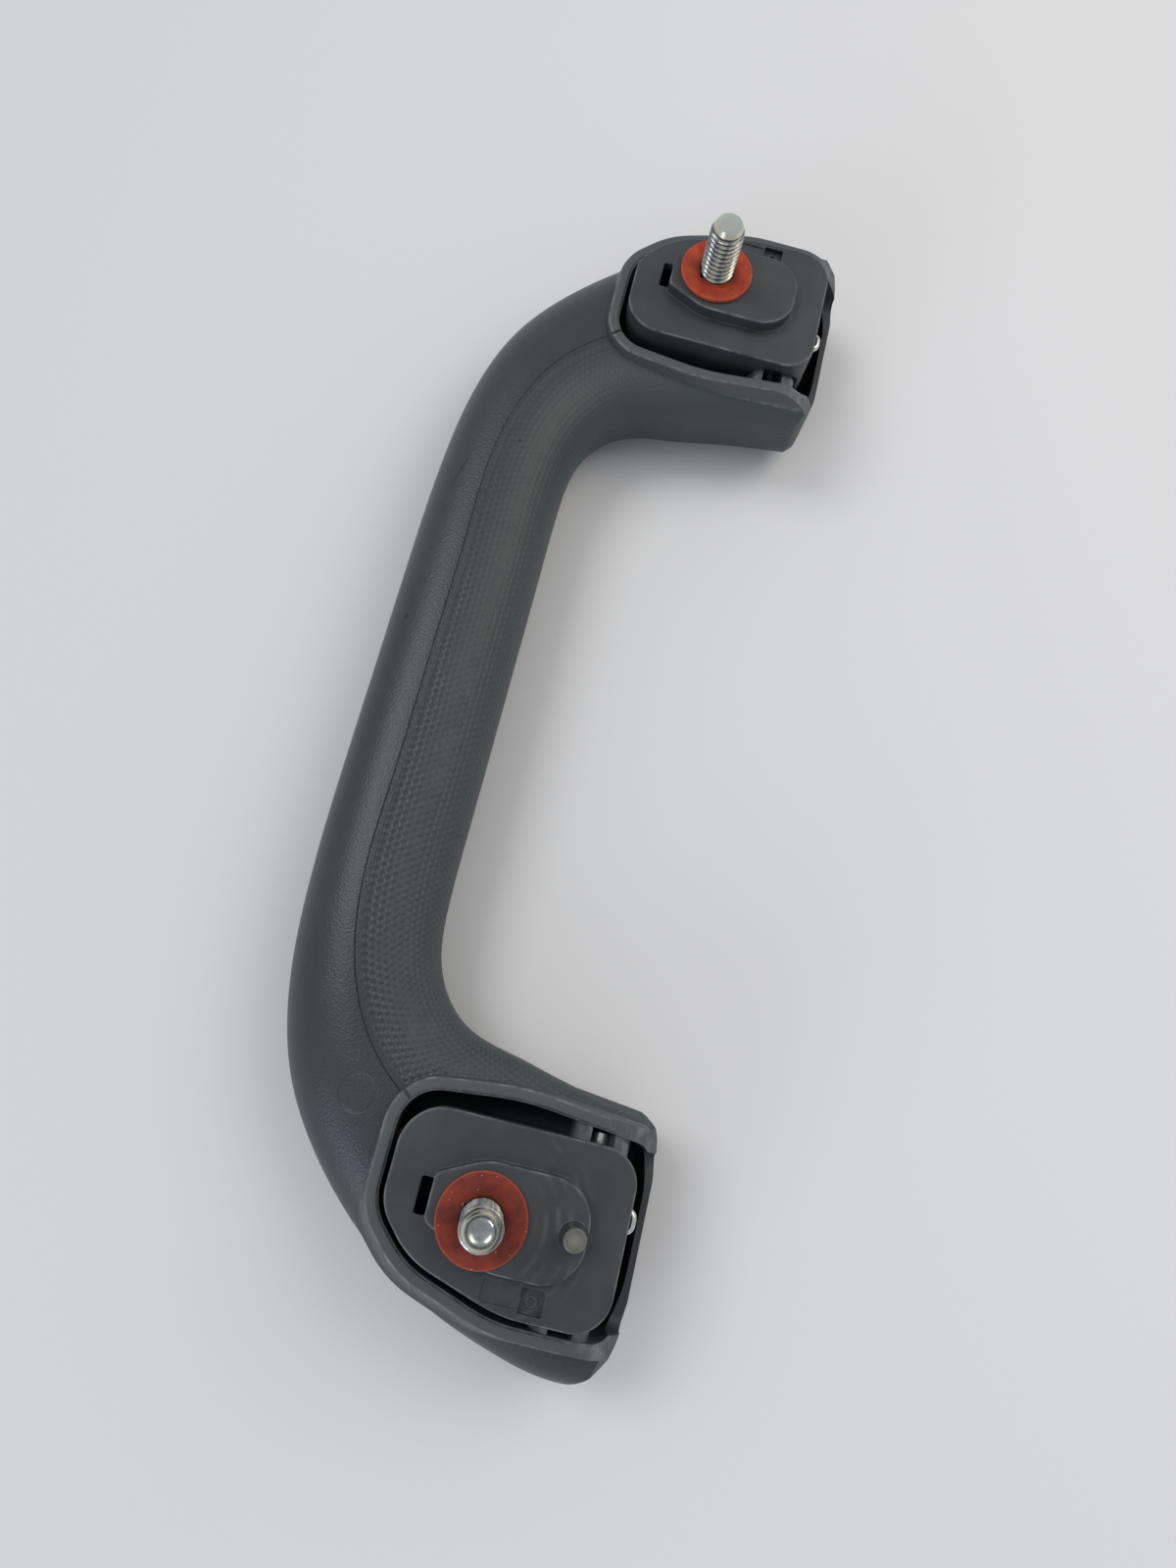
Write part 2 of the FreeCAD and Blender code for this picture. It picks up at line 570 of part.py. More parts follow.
def hinge_cheeks():
    """Narrow cheek and wide knuckle that turn on the pin."""
    top = PLATE_UNDER + OVERLAP
    front = -BOX_TAIL + BOX_TAIL_WALL / 2
    outline = (
        (-PLATE_TAIL + SKIRT_WALL - OVERLAP, top, 0),
        (front, top, 0),
        (front, PIN_Z - CHEEK_BOSS_RADIUS, CHEEK_TOE_ROUND),
        (PIN_V - CHEEK_BOSS_RADIUS, PIN_Z - CHEEK_BOSS_RADIUS, CHEEK_BOSS_RADIUS),
    )
    cheek = cross_prism(outline, CHEEK_FACE_FINGER, CHEEK_FACE_FINGER + CHEEK_WALL)
    return cheek.fuse(cross_prism(outline, KNUCKLE_START, CHEEK_FACE_OUTER))


def gate_ring():
    """Small ring left by the mould in the square recess."""
    low = PLATE_TOP - GATE_RECESS_DEPTH
    top = low + GATE_RING_HEIGHT
    ring = post(GATE_RING_RADIUS, low - OVERLAP, top, GATE_RECESS_U, GATE_RECESS_V)
    return ring.cut(post(GATE_RING_RADIUS - GATE_RING_WALL, low, top, GATE_RECESS_U, GATE_RECESS_V))


def bracket(with_peg):
    """Hinge bracket of the +X end: plate, skirt, pad, screw box and hinge cheeks."""
    body = hollow_plate().fuse(screw_box())

    # The skirt is arched over the pin saddles
    arch = SADDLE_RADIUS + SADDLE_CLEARANCE
    body = body.cut(rod(arch, -PLATE_FINGER_SIDE - OVERSHOOT, CHEEK_FACE_FINGER))
    body = body.cut(rod(arch, CHEEK_FACE_OUTER, PLATE_OUTER_SIDE + OVERSHOOT))

    body = body.fuse(hinge_cheeks())
    pin_bore = rod(PIN_RADIUS + PIN_RUNNING_FIT, CHEEK_FACE_FINGER, CHEEK_FACE_OUTER)
    bush_bore = post(BUSH_RADIUS + BUSH_FIT, SCREW_SEAT, PAD_TOP)
    body = body.cut(pin_bore).cut(bush_bore)

    # Way out for the spring's loop, through the tail skirt
    slot_width = LOOP_WIDTH + 2 * (WIRE_RADIUS + LOOP_SLOT_CLEARANCE)
    slot_low = BOLT_X + LOOP_CENTRE_U - slot_width / 2
    slot_length = 2 * SKIRT_WALL
    slot = Part.makeBox(slot_width, slot_length, SKIRT_DEPTH - PLATE_THICKNESS)
    body = body.cut(slot.translated(V(slot_low, -PLATE_TAIL - SKIRT_WALL / 2, SKIRT_BOTTOM)))

    # Slot beside the pad's nose, through to the screw box
    release_low = -RELEASE_SLOT_SHIFT - RELEASE_SLOT_WIDTH / 2
    release_high = -RELEASE_SLOT_SHIFT + RELEASE_SLOT_WIDTH / 2
    release = (
        (release_low, PAD_NOSE, RELEASE_SLOT_ROUND),
        (release_high, PAD_NOSE, RELEASE_SLOT_ROUND),
        (release_high, PAD_NOSE + RELEASE_SLOT_LENGTH, RELEASE_SLOT_ROUND),
        (release_low, PAD_NOSE + RELEASE_SLOT_LENGTH, RELEASE_SLOT_ROUND),
    )
    body = body.cut(prism(release, SCREW_SEAT - OVERSHOOT, PAD_TOP))

    # Shallow panel, and the square recess with its ring
    body = body.cut(small_panel(PANEL_U, PANEL_V, PANEL_WIDTH, PANEL_LENGTH, PANEL_DEPTH, PANEL_ROUND))
    size = GATE_RECESS_SIZE
    recess = small_panel(GATE_RECESS_U, GATE_RECESS_V, size, size, GATE_RECESS_DEPTH, GATE_RECESS_ROUND)
    body = body.cut(recess)
    body = body.fuse(gate_ring())

    if with_peg:
        foot = V(BOLT_X + PEG_U, PEG_V, PAD_TOP - EDGE_ROUND)
        peg = Part.makeCone(PEG_BASE_RADIUS, PEG_TIP_RADIUS, PEG_HEIGHT + EDGE_ROUND, foot)
        body = body.fuse(peg.makeFillet(EDGE_ROUND, edges_at(peg, PAD_TOP + PEG_HEIGHT)))
    return body.removeSplitter()


def screw_cover():
    """Tray that closes the screw box, held by a lip inside the skirt."""
    tray = inset_prism(COVER_INSET, COVER_BOTTOM, SKIRT_BOTTOM, -BOX_TAIL)
    tray = tray.makeFillet(COVER_ROUND, edges_at(tray, COVER_BOTTOM))
    lip_inset = SKIRT_WALL + COVER_LIP_FIT
    lip_tail = -BOX_TAIL + BOX_TAIL_WALL + COVER_LIP_FIT
    lip_top = SKIRT_BOTTOM + COVER_LIP_HEIGHT
    lip = inset_prism(lip_inset, SKIRT_BOTTOM - OVERLAP, lip_top, lip_tail)
    room_floor = COVER_BOTTOM + COVER_FLOOR
    room = inset_prism(lip_inset + COVER_LIP_WALL, room_floor, lip_top, lip_tail + COVER_LIP_WALL)
    return tray.fuse(lip).cut(room)


def hinge_pin():
    """Plain steel pin with broken ends."""
    pin = rod(PIN_RADIUS, PIN_START, PIN_END)
    ends = [edge for edge in pin.Edges if isinstance(edge.Curve, Part.Circle)]
    return pin.makeChamfer(PIN_CHAMFER, ends)


def return_spring():
    """Torsion spring: two close coils on the pin, joined by a loop that the bracket pushes."""
    # Where the loop's straight run and the floor leg touch the coil, as angles about the pin
    tip = V(BOLT_X + LOOP_CENTRE_U + LOOP_WIDTH / 2, LOOP_REACH_V + WIRE_RADIUS, PAD_TOP - LOOP_DROP)
    run = V(0, tip.y - PIN_V, tip.z - PIN_Z)
    loop_angle = math.degrees(math.atan2(run.z, run.y) - math.acos(COIL_RADIUS / run.Length))
    leg_angle = 90 - LEG_SLOPE
    turns = COIL_TURNS + (loop_angle - leg_angle) / FULL_TURN

    def on_coil(x, angle):
        turn = math.radians(angle)
        return V(x, PIN_V + COIL_RADIUS * math.cos(turn), PIN_Z + COIL_RADIUS * math.sin(turn))

    helix = Part.makeHelix(COIL_PITCH, turns * COIL_PITCH, COIL_RADIUS, 0, True)
    helix.rotate(V(0, 0, 0), V(1, 1, 1), FULL_TURN / 3)
    helix.rotate(V(0, 0, 0), V(1, 0, 0), loop_angle)
    helix.translate(V(tip.x, PIN_V, PIN_Z))

    # Loop: from its middle, round one corner, and straight to the coil
    start = on_coil(tip.x, loop_angle)
    out = (tip - start).normalize()
    inward = V(-1, 0, 0)
    bend = LOOP_WIDTH / 3
    middle = tip + inward * (LOOP_WIDTH / 2)
    after = tip + inward * bend
    before = tip - out * bend
    corner = tip - (out - inward).normalize() * bend * (math.sqrt(2) - 1)

    # Leg: straight down to the cup's floor
    foot = on_coil(tip.x + turns * COIL_PITCH, leg_angle)
    slope = math.radians(LEG_SLOPE)
    down = V(0, math.cos(slope), -math.sin(slope))
    toe = foot + down * ((foot.z - CUP_FLOOR - LEG_FLOOR_GAP) / math.sin(slope))

    edges = [Part.LineSegment(middle, after).toShape()]
    edges.append(Part.Arc(after, corner, before).toShape())
    edges.append(Part.LineSegment(before, start).toShape())
    edges += helix.Edges
    edges.append(Part.LineSegment(foot, toe).toShape())
    section = Part.Wire(Part.Circle(middle, inward, WIRE_RADIUS).toShape())
    half = Part.Wire(edges).makePipeShell([section], True, True)
    return half.fuse(half.mirror(middle, V(1, 0, 0)))


def screw():
    """Flanged hexagon screw: head inside the bracket, thin shank, and threaded stud above the washer."""
    shank = post(SCREW_SHANK_RADIUS, SCREW_SEAT, ROOF)
    stud = post(SCREW_RADIUS, ROOF, SCREW_TIP)
    stud = stud.makeChamfer(SCREW_TIP_CHAMFER, edges_at(stud, SCREW_TIP))
    flange = post(SCREW_FLANGE_RADIUS, SCREW_SEAT - SCREW_FLANGE_THICKNESS, SCREW_SEAT)
    corner = SCREW_HEX_ACROSS_FLATS / math.sqrt(3)
    hexagon = [
        (corner * math.cos(math.radians(60 * i)), corner * math.sin(math.radians(60 * i)), 0)
        for i in range(6)
    ]
    head_bottom = SCREW_SEAT - SCREW_HEAD_HEIGHT
    head = prism(hexagon, head_bottom, SCREW_SEAT)
    shrink = SCREW_SOCKET_RADIUS / corner
    socket = [(a * shrink, b * shrink, 0) for a, b, _ in hexagon]
    head = head.cut(prism(socket, head_bottom, head_bottom + SCREW_SOCKET_DEPTH))
    return shank.fuse([stud, flange, head]).removeSplitter()


def retaining_washer():
    """Flat fibre washer. Its bore is smaller than the thread, so it keeps the screw in the bracket."""
    bore = post(SCREW_SHANK_RADIUS + WASHER_FIT, PAD_TOP, ROOF)
    return post(WASHER_RADIUS, PAD_TOP, ROOF).cut(bore)


def compression_bush():
    """Steel sleeve that takes the screw's clamping load through the plastic."""
    sleeve = post(BUSH_RADIUS, SCREW_SEAT, PAD_TOP)
    return sleeve.cut(post(SCREW_RADIUS + BUSH_BORE_CLEARANCE, SCREW_SEAT, PAD_TOP))


def save(name, shape):
    """Writes one piece to its file."""
    shape.exportStep("parts/" + name + ".step")


def main():
    os.makedirs("parts", exist_ok=True)
    save("grip", grip())
    save("bracket_right", bracket(False))
    save("bracket_left", mirrored(bracket(True)))
    pieces = {
        "hinge_pin": hinge_pin(),
        "return_spring": return_spring(),
        "mounting_screw": screw(),
        "retaining_washer": retaining_washer(),
        "compression_bush": compression_bush(),
        "screw_cover": screw_cover(),
    }
    for name, shape in pieces.items():
        save(name + "_right", shape)
        save(name + "_left", mirrored(shape))


main()
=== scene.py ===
"""Vehicle roof grab handle, lying on a pale floor with its mounting side up."""

import math

import bpy
import bmesh
import numpy as np
from mathutils import Matrix, Vector


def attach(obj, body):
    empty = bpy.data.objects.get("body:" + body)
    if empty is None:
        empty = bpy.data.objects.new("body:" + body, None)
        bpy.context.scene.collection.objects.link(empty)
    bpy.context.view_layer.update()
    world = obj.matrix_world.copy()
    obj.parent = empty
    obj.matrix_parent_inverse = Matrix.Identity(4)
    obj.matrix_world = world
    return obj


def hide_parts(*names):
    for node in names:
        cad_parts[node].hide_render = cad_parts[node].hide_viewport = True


bl_info = {
    "name": "Roof Grab Handle",
    "version": (1, 0, 0),
    "blender": (4, 5, 0),
    "location": "3D View > Sidebar > Grab Handle",
    "description": "Dresses the grab handle's CAD model with its mouldings, finishes and stage",
    "category": "Object",
}

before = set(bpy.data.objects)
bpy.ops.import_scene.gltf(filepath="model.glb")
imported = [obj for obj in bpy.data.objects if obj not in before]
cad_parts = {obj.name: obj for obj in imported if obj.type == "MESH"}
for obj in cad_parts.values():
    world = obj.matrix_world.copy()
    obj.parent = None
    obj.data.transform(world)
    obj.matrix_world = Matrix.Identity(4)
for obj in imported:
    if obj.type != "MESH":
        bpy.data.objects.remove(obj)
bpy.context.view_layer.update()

MM = 0.001
SIDES = (("right", 1), ("left", -1))
DRESSED = ("grip", "mounting_screw", "retaining_washer")

# Sizes of the CAD model, in mm, that the dressed pieces keep
BOLT_X = 81.5
PAD_TOP = -0.8
RIM_TOP = -5.8
BAR_MIDDLE = -17.1
BAR_HALF_THICKNESS = 9.9
FRONT_FACE = -27.0
CUP_FLOOR = -24.0
CUP_FINGER_SIDE = 19.5
CUP_OUTER_SIDE = 20.6
CUP_TAIL = 25.1
CAVITY_FINGER_SIDE = 16.1
CAVITY_OUTER_SIDE = 13.2
CAVITY_NOSE = 15.1
CAVITY_TAIL = 23.5
CAVITY_DRAFT_AT_PIN = 0.9
PIN_Y = -14.6
PIN_Z = -10.6
TAIL_WALL_TOP = -15.13
SCREW_TIP = 10.7
SCREW_SEAT = -9.3
PEG_PLACE = (BOLT_X - 0.6, -12.9)

# Room for boolean steps to cut past a face, and the reach of forms that end outside the handle
OVERSHOOT = 1.0
FAR = 122.0
# How far a form runs into the one that it joins
SINK = 0.3
# Most of a straight run that the arc at one of its ends may use, and least cosine for a mitre
CORNER_SHARE = 0.48
MITRE_LIMIT = 0.5
SQUARE = ((-1, -1), (1, -1), (1, 1), (-1, 1))

# Mouth of a cup in (u, v, corner radius): u outward from the bolt, v towards the bar
CAVITY_OUTLINE = (
    (-CAVITY_FINGER_SIDE + 1.8, -CAVITY_TAIL + 1.5, 3.0),
    (-CAVITY_FINGER_SIDE - 0.4, -2.0, 40.0),
    (-CAVITY_FINGER_SIDE + 1.5, CAVITY_NOSE, 6.0),
    (2.2, CAVITY_NOSE, 7.5),
    (CAVITY_OUTER_SIDE - 4.6, CAVITY_NOSE - 6.3, 14.0),
    (CAVITY_OUTER_SIDE, CAVITY_NOSE - 20.1, 22.0),
    (CAVITY_OUTER_SIDE, -CAVITY_TAIL + 1.9, 3.2),
    (7.0, -CAVITY_TAIL, 20.0),
    (-9.0, -CAVITY_TAIL, 20.0),
)

# Sections of one half of the grip, from the middle of the bar to past the cup's tail: finger edge
# (u, y), outer edge (u, y), how square the upper finger, upper outer and lower quarters are, and
# where the mould's parting line lies, from -1 at the finger edge to 1 at the outer edge
GRIP_SECTIONS = (
    (-81.5, 17.1, -81.5, 40.1, 2.3, 2.2, 2.3, 0.154),
    (-59.5, 17.1, -59.5, 40.1, 2.3, 2.2, 2.3, 0.154),
    (-43.5, 17.0, -39.5, 39.6, 2.3, 2.1, 2.3, 0.158),
    (-35.0, 16.0, -24.5, 37.8, 2.4, 2.0, 2.3, 0.06),
    (-29.5, 13.5, -11.6, 33.5, 2.6, 1.95, 2.4, -0.03),
    (-25.6, 9.6, -0.3, 25.4, 3.0, 2.0, 2.5, -0.10),
    (-23.6, 5.0, 8.4, 15.8, 3.7, 2.25, 2.7, -0.15),
    (-22.4, -0.5, 14.9, 5.1, 4.4, 2.6, 3.0, -0.15),
    (-20.8, -7.0, 18.7, -5.6, 4.8, 2.9, 3.2, -0.15),
    (-19.5, -13.5, 20.5, -13.5, 5.0, 3.0, 3.2, -0.15),
    (-18.5, -20.0, 20.7, -20.0, 5.0, 3.0, 3.2, -0.15),
    (-17.1, -29.1, 20.7, -29.1, 5.0, 3.0, 3.2, -0.15),
)

# Limits of one half in plan, (u, v, corner radius), and of both in the side view, (y, z, radius)
TAIL_FALL = -24.6
HALF_PLAN = (
    (-25.5, 6.0, 0),
    (-18.4, -22.6, 5.5),
    (-10.0, -24.6, 25.0),
    (6.0, -24.8, 25.0),
    (13.5, -23.8, 14.0),
    (20.9, -18.8, 9.0),
    (21.1, 0.0, 0),
    (FAR, FAR, 0),
)
SIDE_LIMIT = (
    (TAIL_FALL, FRONT_FACE - OVERSHOOT, 0),
    (FAR, FRONT_FACE - OVERSHOOT, 0),
    (FAR, RIM_TOP, 0),
    (TAIL_FALL, RIM_TOP, 11.0),
)

# Fall of a cup's outer corner at the tail: way out from the bolt, radius, half length, turn about Z
CORNER_REACH = 28.5
CORNER_FALL = 9.0
CORNER_HALF_LENGTH = 16.0
CORNER_TURN = 0.594

# Rims, rolls, seats and ribs of a cup
RIM_WIDTH = 2.0
RIM_FLARE = 2.4
RIM_FLARE_DEPTH = 7.0
RIM_STEPS = (0.0, 0.2, 0.4, 0.6, 0.8)
RIM_EDGE_ROUND = 0.5
MOUTH_EDGE_ROUND = 0.35
FLOOR_ROUND = 2.6
TAIL_ROLL_LENGTH = 9.0
TAIL_ROLL_INSET = 5.5
TAIL_ROLL_RISE = 8.5
TAIL_ROLL_STAND_OFF = 0.3
TAIL_ROLL_CORNER = 7.0
TAIL_ROLL_ROOM = 40.0
TAIL_ROLL_ANGLES = (0, 12, 25, 37, 50, 60, 70, 80, 90)
OPENING_INSETS = (2.6, 1.2)
OPENING_CORNER = 2.0
NOTCH_PLACE = (BOLT_X - CAVITY_FINGER_SIDE + 3.4, CAVITY_NOSE - 1.4, RIM_TOP)
NOTCH_HALF_SIZES = (3.0, 0.25, 0.5)
NOTCH_TURN = 128.0
SADDLE_RADIUS = 4.6
SADDLE_REACH = 3.6
SADDLE_ROOT = 1.5
SEAT_RADIUS = 1.52
SEAT_MOUTH = 1.3
SEAT_LEAD_IN = 0.5
REST_RIB_WIDTH = 2.0
REST_RIB_REACH = 1.4
REST_RIB_MIDDLES = (-7.0, 1.0)
REST_RIB_TOP = -15.1
REST_RIB_CORNER = 0.5

# Skin: first column inside the border, and the width of the step down to the finger side's field
BORDER_COLUMN = 0.42
FIELD_STEP = 0.25

# Sharpest turns in degrees that are still shaded smooth
GRIP_SMOOTHING = 28.0
SCREW_SMOOTHING = 32.0
WASHER_SMOOTHING = 40.0

# Texture of the skin: dots in rows on the finger side, and an ejector's ring near the -X end
DOT_ROW = 1.05
DOT_PITCH = 1.35
BORDER_RIDGE = 0.9
EJECTOR_PLACE = (69.6, 22.0)
EJECTOR_RADIUS = 2.75

# Dark specks and one scratch on the skin: (x, y, half sizes, turn about Z), and how high they reach
SKIN_MARKS = (
    (5.7, 36.3, 0.55, 0.4, 0.3),
    (42.2, 26.1, 0.4, 0.4, 0.0),
    (18.8, 35.6, 0.25, 0.25, 0.0),
    (-38.3, 24.8, 0.2, 0.2, 0.0),
    (-63.2, 24.5, 0.25, 0.25, 0.0),
    (34.6, 34.7, 3.6, 0.22, -0.274),
)
MARK_MIDDLE = -11.0
MARK_HALF_HEIGHT = 9.0

# Screw: shares of a turn for the crest's flat, a flank and the run-in, and the hollow of the tip
# as (share of its depth, share of its radius)
SCREW_RADIUS = 3.0
SHANK_RADIUS = 2.7
THREAD_COLUMNS = 80
THREAD_ROWS = 16
CREST_SHARE = 0.06
FLANK_SHARE = 0.36
RUN_IN_TURNS = 0.8
TIP_RADIUS = 2.2
TIP_TAPER = 1.8
TIP_DISH = ((0.0, 1.0), (0.0, 0.9), (0.35, 0.84), (0.7, 0.72), (0.92, 0.5), (1.0, 0.2))
FLANGE_RADIUS = 6.5
FLANGE_THICKNESS = 1.2
HEX_ACROSS_FLATS = 10.0
HEAD_HEIGHT = 6.0
SOCKET_ACROSS_FLATS = 4.85
SOCKET_DEPTH = 3.0
CHAMFER = 0.25
EDGE_BREAK = 0.15
SHEARED_DEPTH = 0.6

# Washer: wobble of its edge and the waves in it, and the turns of its two notches for each side
WASHER_RADIUS = 6.5
WASHER_WOBBLE = 0.03
WASHER_WAVES = (2, 3, 5, 9, 14)
WASHER_NOTCH_HALF_TURN = 0.13
WASHER_NOTCHES = {1: (0.6, 2.3), -1: (1.15, 2.62)}
WASHER_SEEDS = {1: 11, -1: 23}
# Dark and light tones of each washer's fibre; the -X washer's are darker, a painted shade copy of
# the same fibre
WASHER_TONES_WITH_PAINTED_SHADE = {1: ("#8A2209", "#B03F13"), -1: ("#5A1607", "#80280D")}

# Stage: ways to the lamps in metres, and the camera's place in mm with its right and back axes
SUN_WAY = (0.22, 0.56, 0.8)
CEILING_PLACE = (0.28, -0.35, 0.5)
DOOR_PLACE = (-0.85, 0.5, 0.3)
PANEL_SIDE = 0.45
CAMERA_PLACE = (-61.86, 4.33, 155.64)
CAMERA_RIGHT = (0.2317, -0.9685, 0.0915)
CAMERA_BACK = (-0.2742, 0.0252, 0.9613)


def linear(code):
    """The linear RGBA of an sRGB hex colour."""
    values = [int(code[i : i + 2], 16) / 255 for i in (1, 3, 5)]
    bright = [v / 12.92 if v <= 0.04045 else ((v + 0.055) / 1.055) ** 2.4 for v in values]
    return (*bright, 1.0)


# Outlines and solids, in mm ------------------------------------------------------------------


def rounded(points, arc_step=6.0):
    """Closed outline of straight runs joined by tangent arcs. Each point is (a, b, radius)."""
    outline = []
    for i, (a, b, radius) in enumerate(points):
        here = np.array((a, b), float)
        if radius == 0:
            outline.append(here)
            continue
        back = np.array(points[i - 1][:2], float) - here
        ahead = np.array(points[(i + 1) % len(points)][:2], float) - here
        back_length = np.linalg.norm(back)
        ahead_length = np.linalg.norm(ahead)
        back /= back_length
        ahead /= ahead_length
        half = math.acos(np.clip(back @ ahead, -1, 1)) / 2
        room = CORNER_SHARE * min(back_length, ahead_length)
        reach = min(radius / math.tan(half), room)
        bend = reach * math.tan(half)
        toward = (back + ahead) / np.linalg.norm(back + ahead)
        centre = here + toward * bend / math.sin(half)
        start = here + back * reach - centre
        finish = here + ahead * reach - centre
        sweep = math.pi - 2 * half
        steps = max(2, math.ceil(math.degrees(sweep) / arc_step))
        for k in range(steps + 1):
            share = k / steps
            spoke = start * math.sin((1 - share) * sweep) + finish * math.sin(share * sweep)
            outline.append(centre + spoke / math.sin(sweep))
    return np.array(outline)


def trough(low_side, high_side, base, top, radius):
    """Corners of an outline between two sides, with rounded corners at its base."""
    base_corners = [(low_side, base, radius), (high_side, base, radius)]
    return base_corners + [(high_side, top, 0), (low_side, top, 0)]


def grown(outline, amount):
    """A dense closed outline moved outward by an even amount."""
    following = np.roll(outline, -1, 0)
    ahead = following - outline
    ahead /= np.linalg.norm(ahead, axis=1)[:, None]
    back = np.roll(ahead, 1, 0)
    tangent = ahead + back
    tangent /= np.linalg.norm(tangent, axis=1)[:, None]
    area = np.sum(outline[:, 0] * following[:, 1] - following[:, 0] * outline[:, 1])
    normal = np.column_stack((tangent[:, 1], -tangent[:, 0])) * np.sign(area)
    stretch = 1 / np.maximum(np.sum(tangent * ahead, axis=1), MITRE_LIMIT)
    return outline + normal * (amount * stretch)[:, None]


def at_height(outline, z):
    """An (x, y) outline as points in space at one height."""
    return np.column_stack((outline, np.full(len(outline), z)))


def at_bolt(outline, z):
    """A (u, v) outline as points in space at the +X end."""
    return at_height(outline + (BOLT_X, 0), z)


def lengthwise(outline, y):
    """A (u, z) outline as points in space at the +X end, at one y."""
    return np.column_stack((BOLT_X + outline[:, 0], np.full(len(outline), y), outline[:, 1]))


def crosswise(outline, x):
    """A (y, z) outline as points in space at one x."""
    return np.column_stack((np.full(len(outline), x), outline))


def both_ends(form):
    """A form of the +X end and its mirror image, as two forms."""
    return [form, [ring * np.array((-1, 1, 1)) for ring in form]]


def quarter_round(radius, steps=5):
    """Pairs (in, up) round a quarter circle, from its side to its top."""
    turns = [math.pi / 2 * k / steps for k in range(steps + 1)]
    return [(radius * (1 - math.cos(t)), radius * math.sin(t)) for t in turns]


def spokes(count):
    """Turns evenly round a circle, and the unit spokes at them."""
    turns = np.linspace(0, 2 * math.pi, count, endpoint=False)
    return turns, np.column_stack((np.cos(turns), np.sin(turns)))


def lathe(profile, columns=96):
    """Rings of a turned form on the bolt axis. The profile is (radius or function of turns, z)."""
    turns, circle = spokes(columns)
    rings = []
    for radius, z in profile:
        r = radius(turns)[:, None] if callable(radius) else radius
        rings.append(at_bolt(r * circle, z))
    return rings


def closed(shape, mesh):
    """The mesh, filled from a shape with its faces turned outward."""
    bmesh.ops.recalc_face_normals(shape, faces=shape.faces)
    shape.to_mesh(mesh)
    shape.free()
    return mesh


def solid(*forms, ringed=False):
    """One mesh of closed forms of equal rings, capped or, if ringed, joined last to first."""
    shape = bmesh.new()
    for rings in forms:
        rows = [[shape.verts.new(Vector(p) * MM) for p in ring] for ring in rings]
        for low, high in zip(rows, rows[1:] + (rows[:1] if ringed else [])):
            for k in range(len(low)):
                after = (k + 1) % len(low)
                shape.faces.new((low[k], low[after], high[after], high[k]))
        if not ringed:
            shape.faces.new(rows[0][::-1])
            shape.faces.new(rows[-1])
    return closed(shape, bpy.data.meshes.new("form"))


def to_own_end(mesh, side):
    """Moves a mesh made at the +X bolt, not mirrored, so that a thread stays right-handed."""
    if side < 0:
        mesh.transform(Matrix.Translation((-2 * BOLT_X * MM, 0, 0)))


def new_object(name, data, *materials):
    """Puts a mesh with its materials, a lamp or a camera into the scene."""
    made = bpy.data.objects.new(name, data)
    bpy.context.scene.collection.objects.link(made)
    data.name = name
    for material in materials:
        data.materials.append(material)
    return made


def combine(base, steps, materials):
    """The mesh of base after boolean steps. Each step is (operation, mesh, material's index)."""
    made = new_object("work", base, *materials)
    tools = []
    for operation, mesh, index in steps:
        tool = new_object("tool", mesh, *materials)
        for face in mesh.polygons:
            face.material_index = index
        tools.append(tool)
        modifier = made.modifiers.new(operation, "BOOLEAN")
        modifier.operation = operation
        modifier.solver = "MANIFOLD"
        modifier.object = tool
    shown = made.evaluated_get(bpy.context.evaluated_depsgraph_get())
    result = bpy.data.meshes.new_from_object(shown)
    for leftover in [made, *tools]:
        mesh = leftover.data
        bpy.data.objects.remove(leftover)
        bpy.data.meshes.remove(mesh)
    if not result.polygons:
        raise RuntimeError("a boolean step left nothing")
    return result


def smooth(mesh, degrees):
    """Shades a mesh smooth, with hard edges where its faces meet more sharply than the angle."""
    mesh.polygons.foreach_set("use_smooth", [True] * len(mesh.polygons))
    mesh.set_sharp_from_angle(angle=math.radians(degrees))


# Materials -----------------------------------------------------------------------------------


def node(tree, kind, inputs=(), out=0, **settings):
    """Adds a shader node with its settings and gives one output.

    Inputs, in order or by name, are values, hex colours, or other nodes' outputs to link.
    """
    added = tree.nodes.new("ShaderNode" + kind)
    for name, value in settings.items():
        setattr(added, name, value)
    for name, value in inputs.items() if isinstance(inputs, dict) else enumerate(inputs):
        if isinstance(value, bpy.types.NodeSocket):
            tree.links.new(value, added.inputs[name])
        else:
            value = linear(value) if isinstance(value, str) else value
            added.inputs[name].default_value = value
    return added.outputs[out] if added.outputs else None


def new_material(name):
    """An empty node material, its tree and the place on its object."""
    material = bpy.data.materials.new(name)
    material.use_nodes = True
    tree = material.node_tree
    tree.nodes.clear()
    return material, tree, node(tree, "TexCoord", out="Object")


def shaded(material, inputs):
    """The material, closed with its shader and output."""
    shader = node(material.node_tree, "BsdfPrincipled", inputs)
    node(material.node_tree, "OutputMaterial", {"Surface": shader})
    return material


def overlap(tree, shared, *masks):
    """Where all the masks lie over each other."""
    for mask in masks:
        shared = node(tree, "Math", (shared, mask), operation="MULTIPLY")
    return shared


def coats(tree, paint, *layers):
    """A colour with others over it. Each layer is (mask, colour)."""
    for mask, colour in layers:
        paint = node(tree, "Mix", {0: mask, 6: paint, 7: colour}, 2, data_type="RGBA")
    return paint


def patches(tree, place, size_mm, detail, low, high, least=0.0, most=1.0):
    """Uneven patches of about a size: least where their noise is under low, most over high."""
    noise = node(tree, "TexNoise", {"Vector": place, "Scale": 1 / (size_mm * MM), "Detail": detail})
    return node(tree, "MapRange", (noise, low, high, least, most))


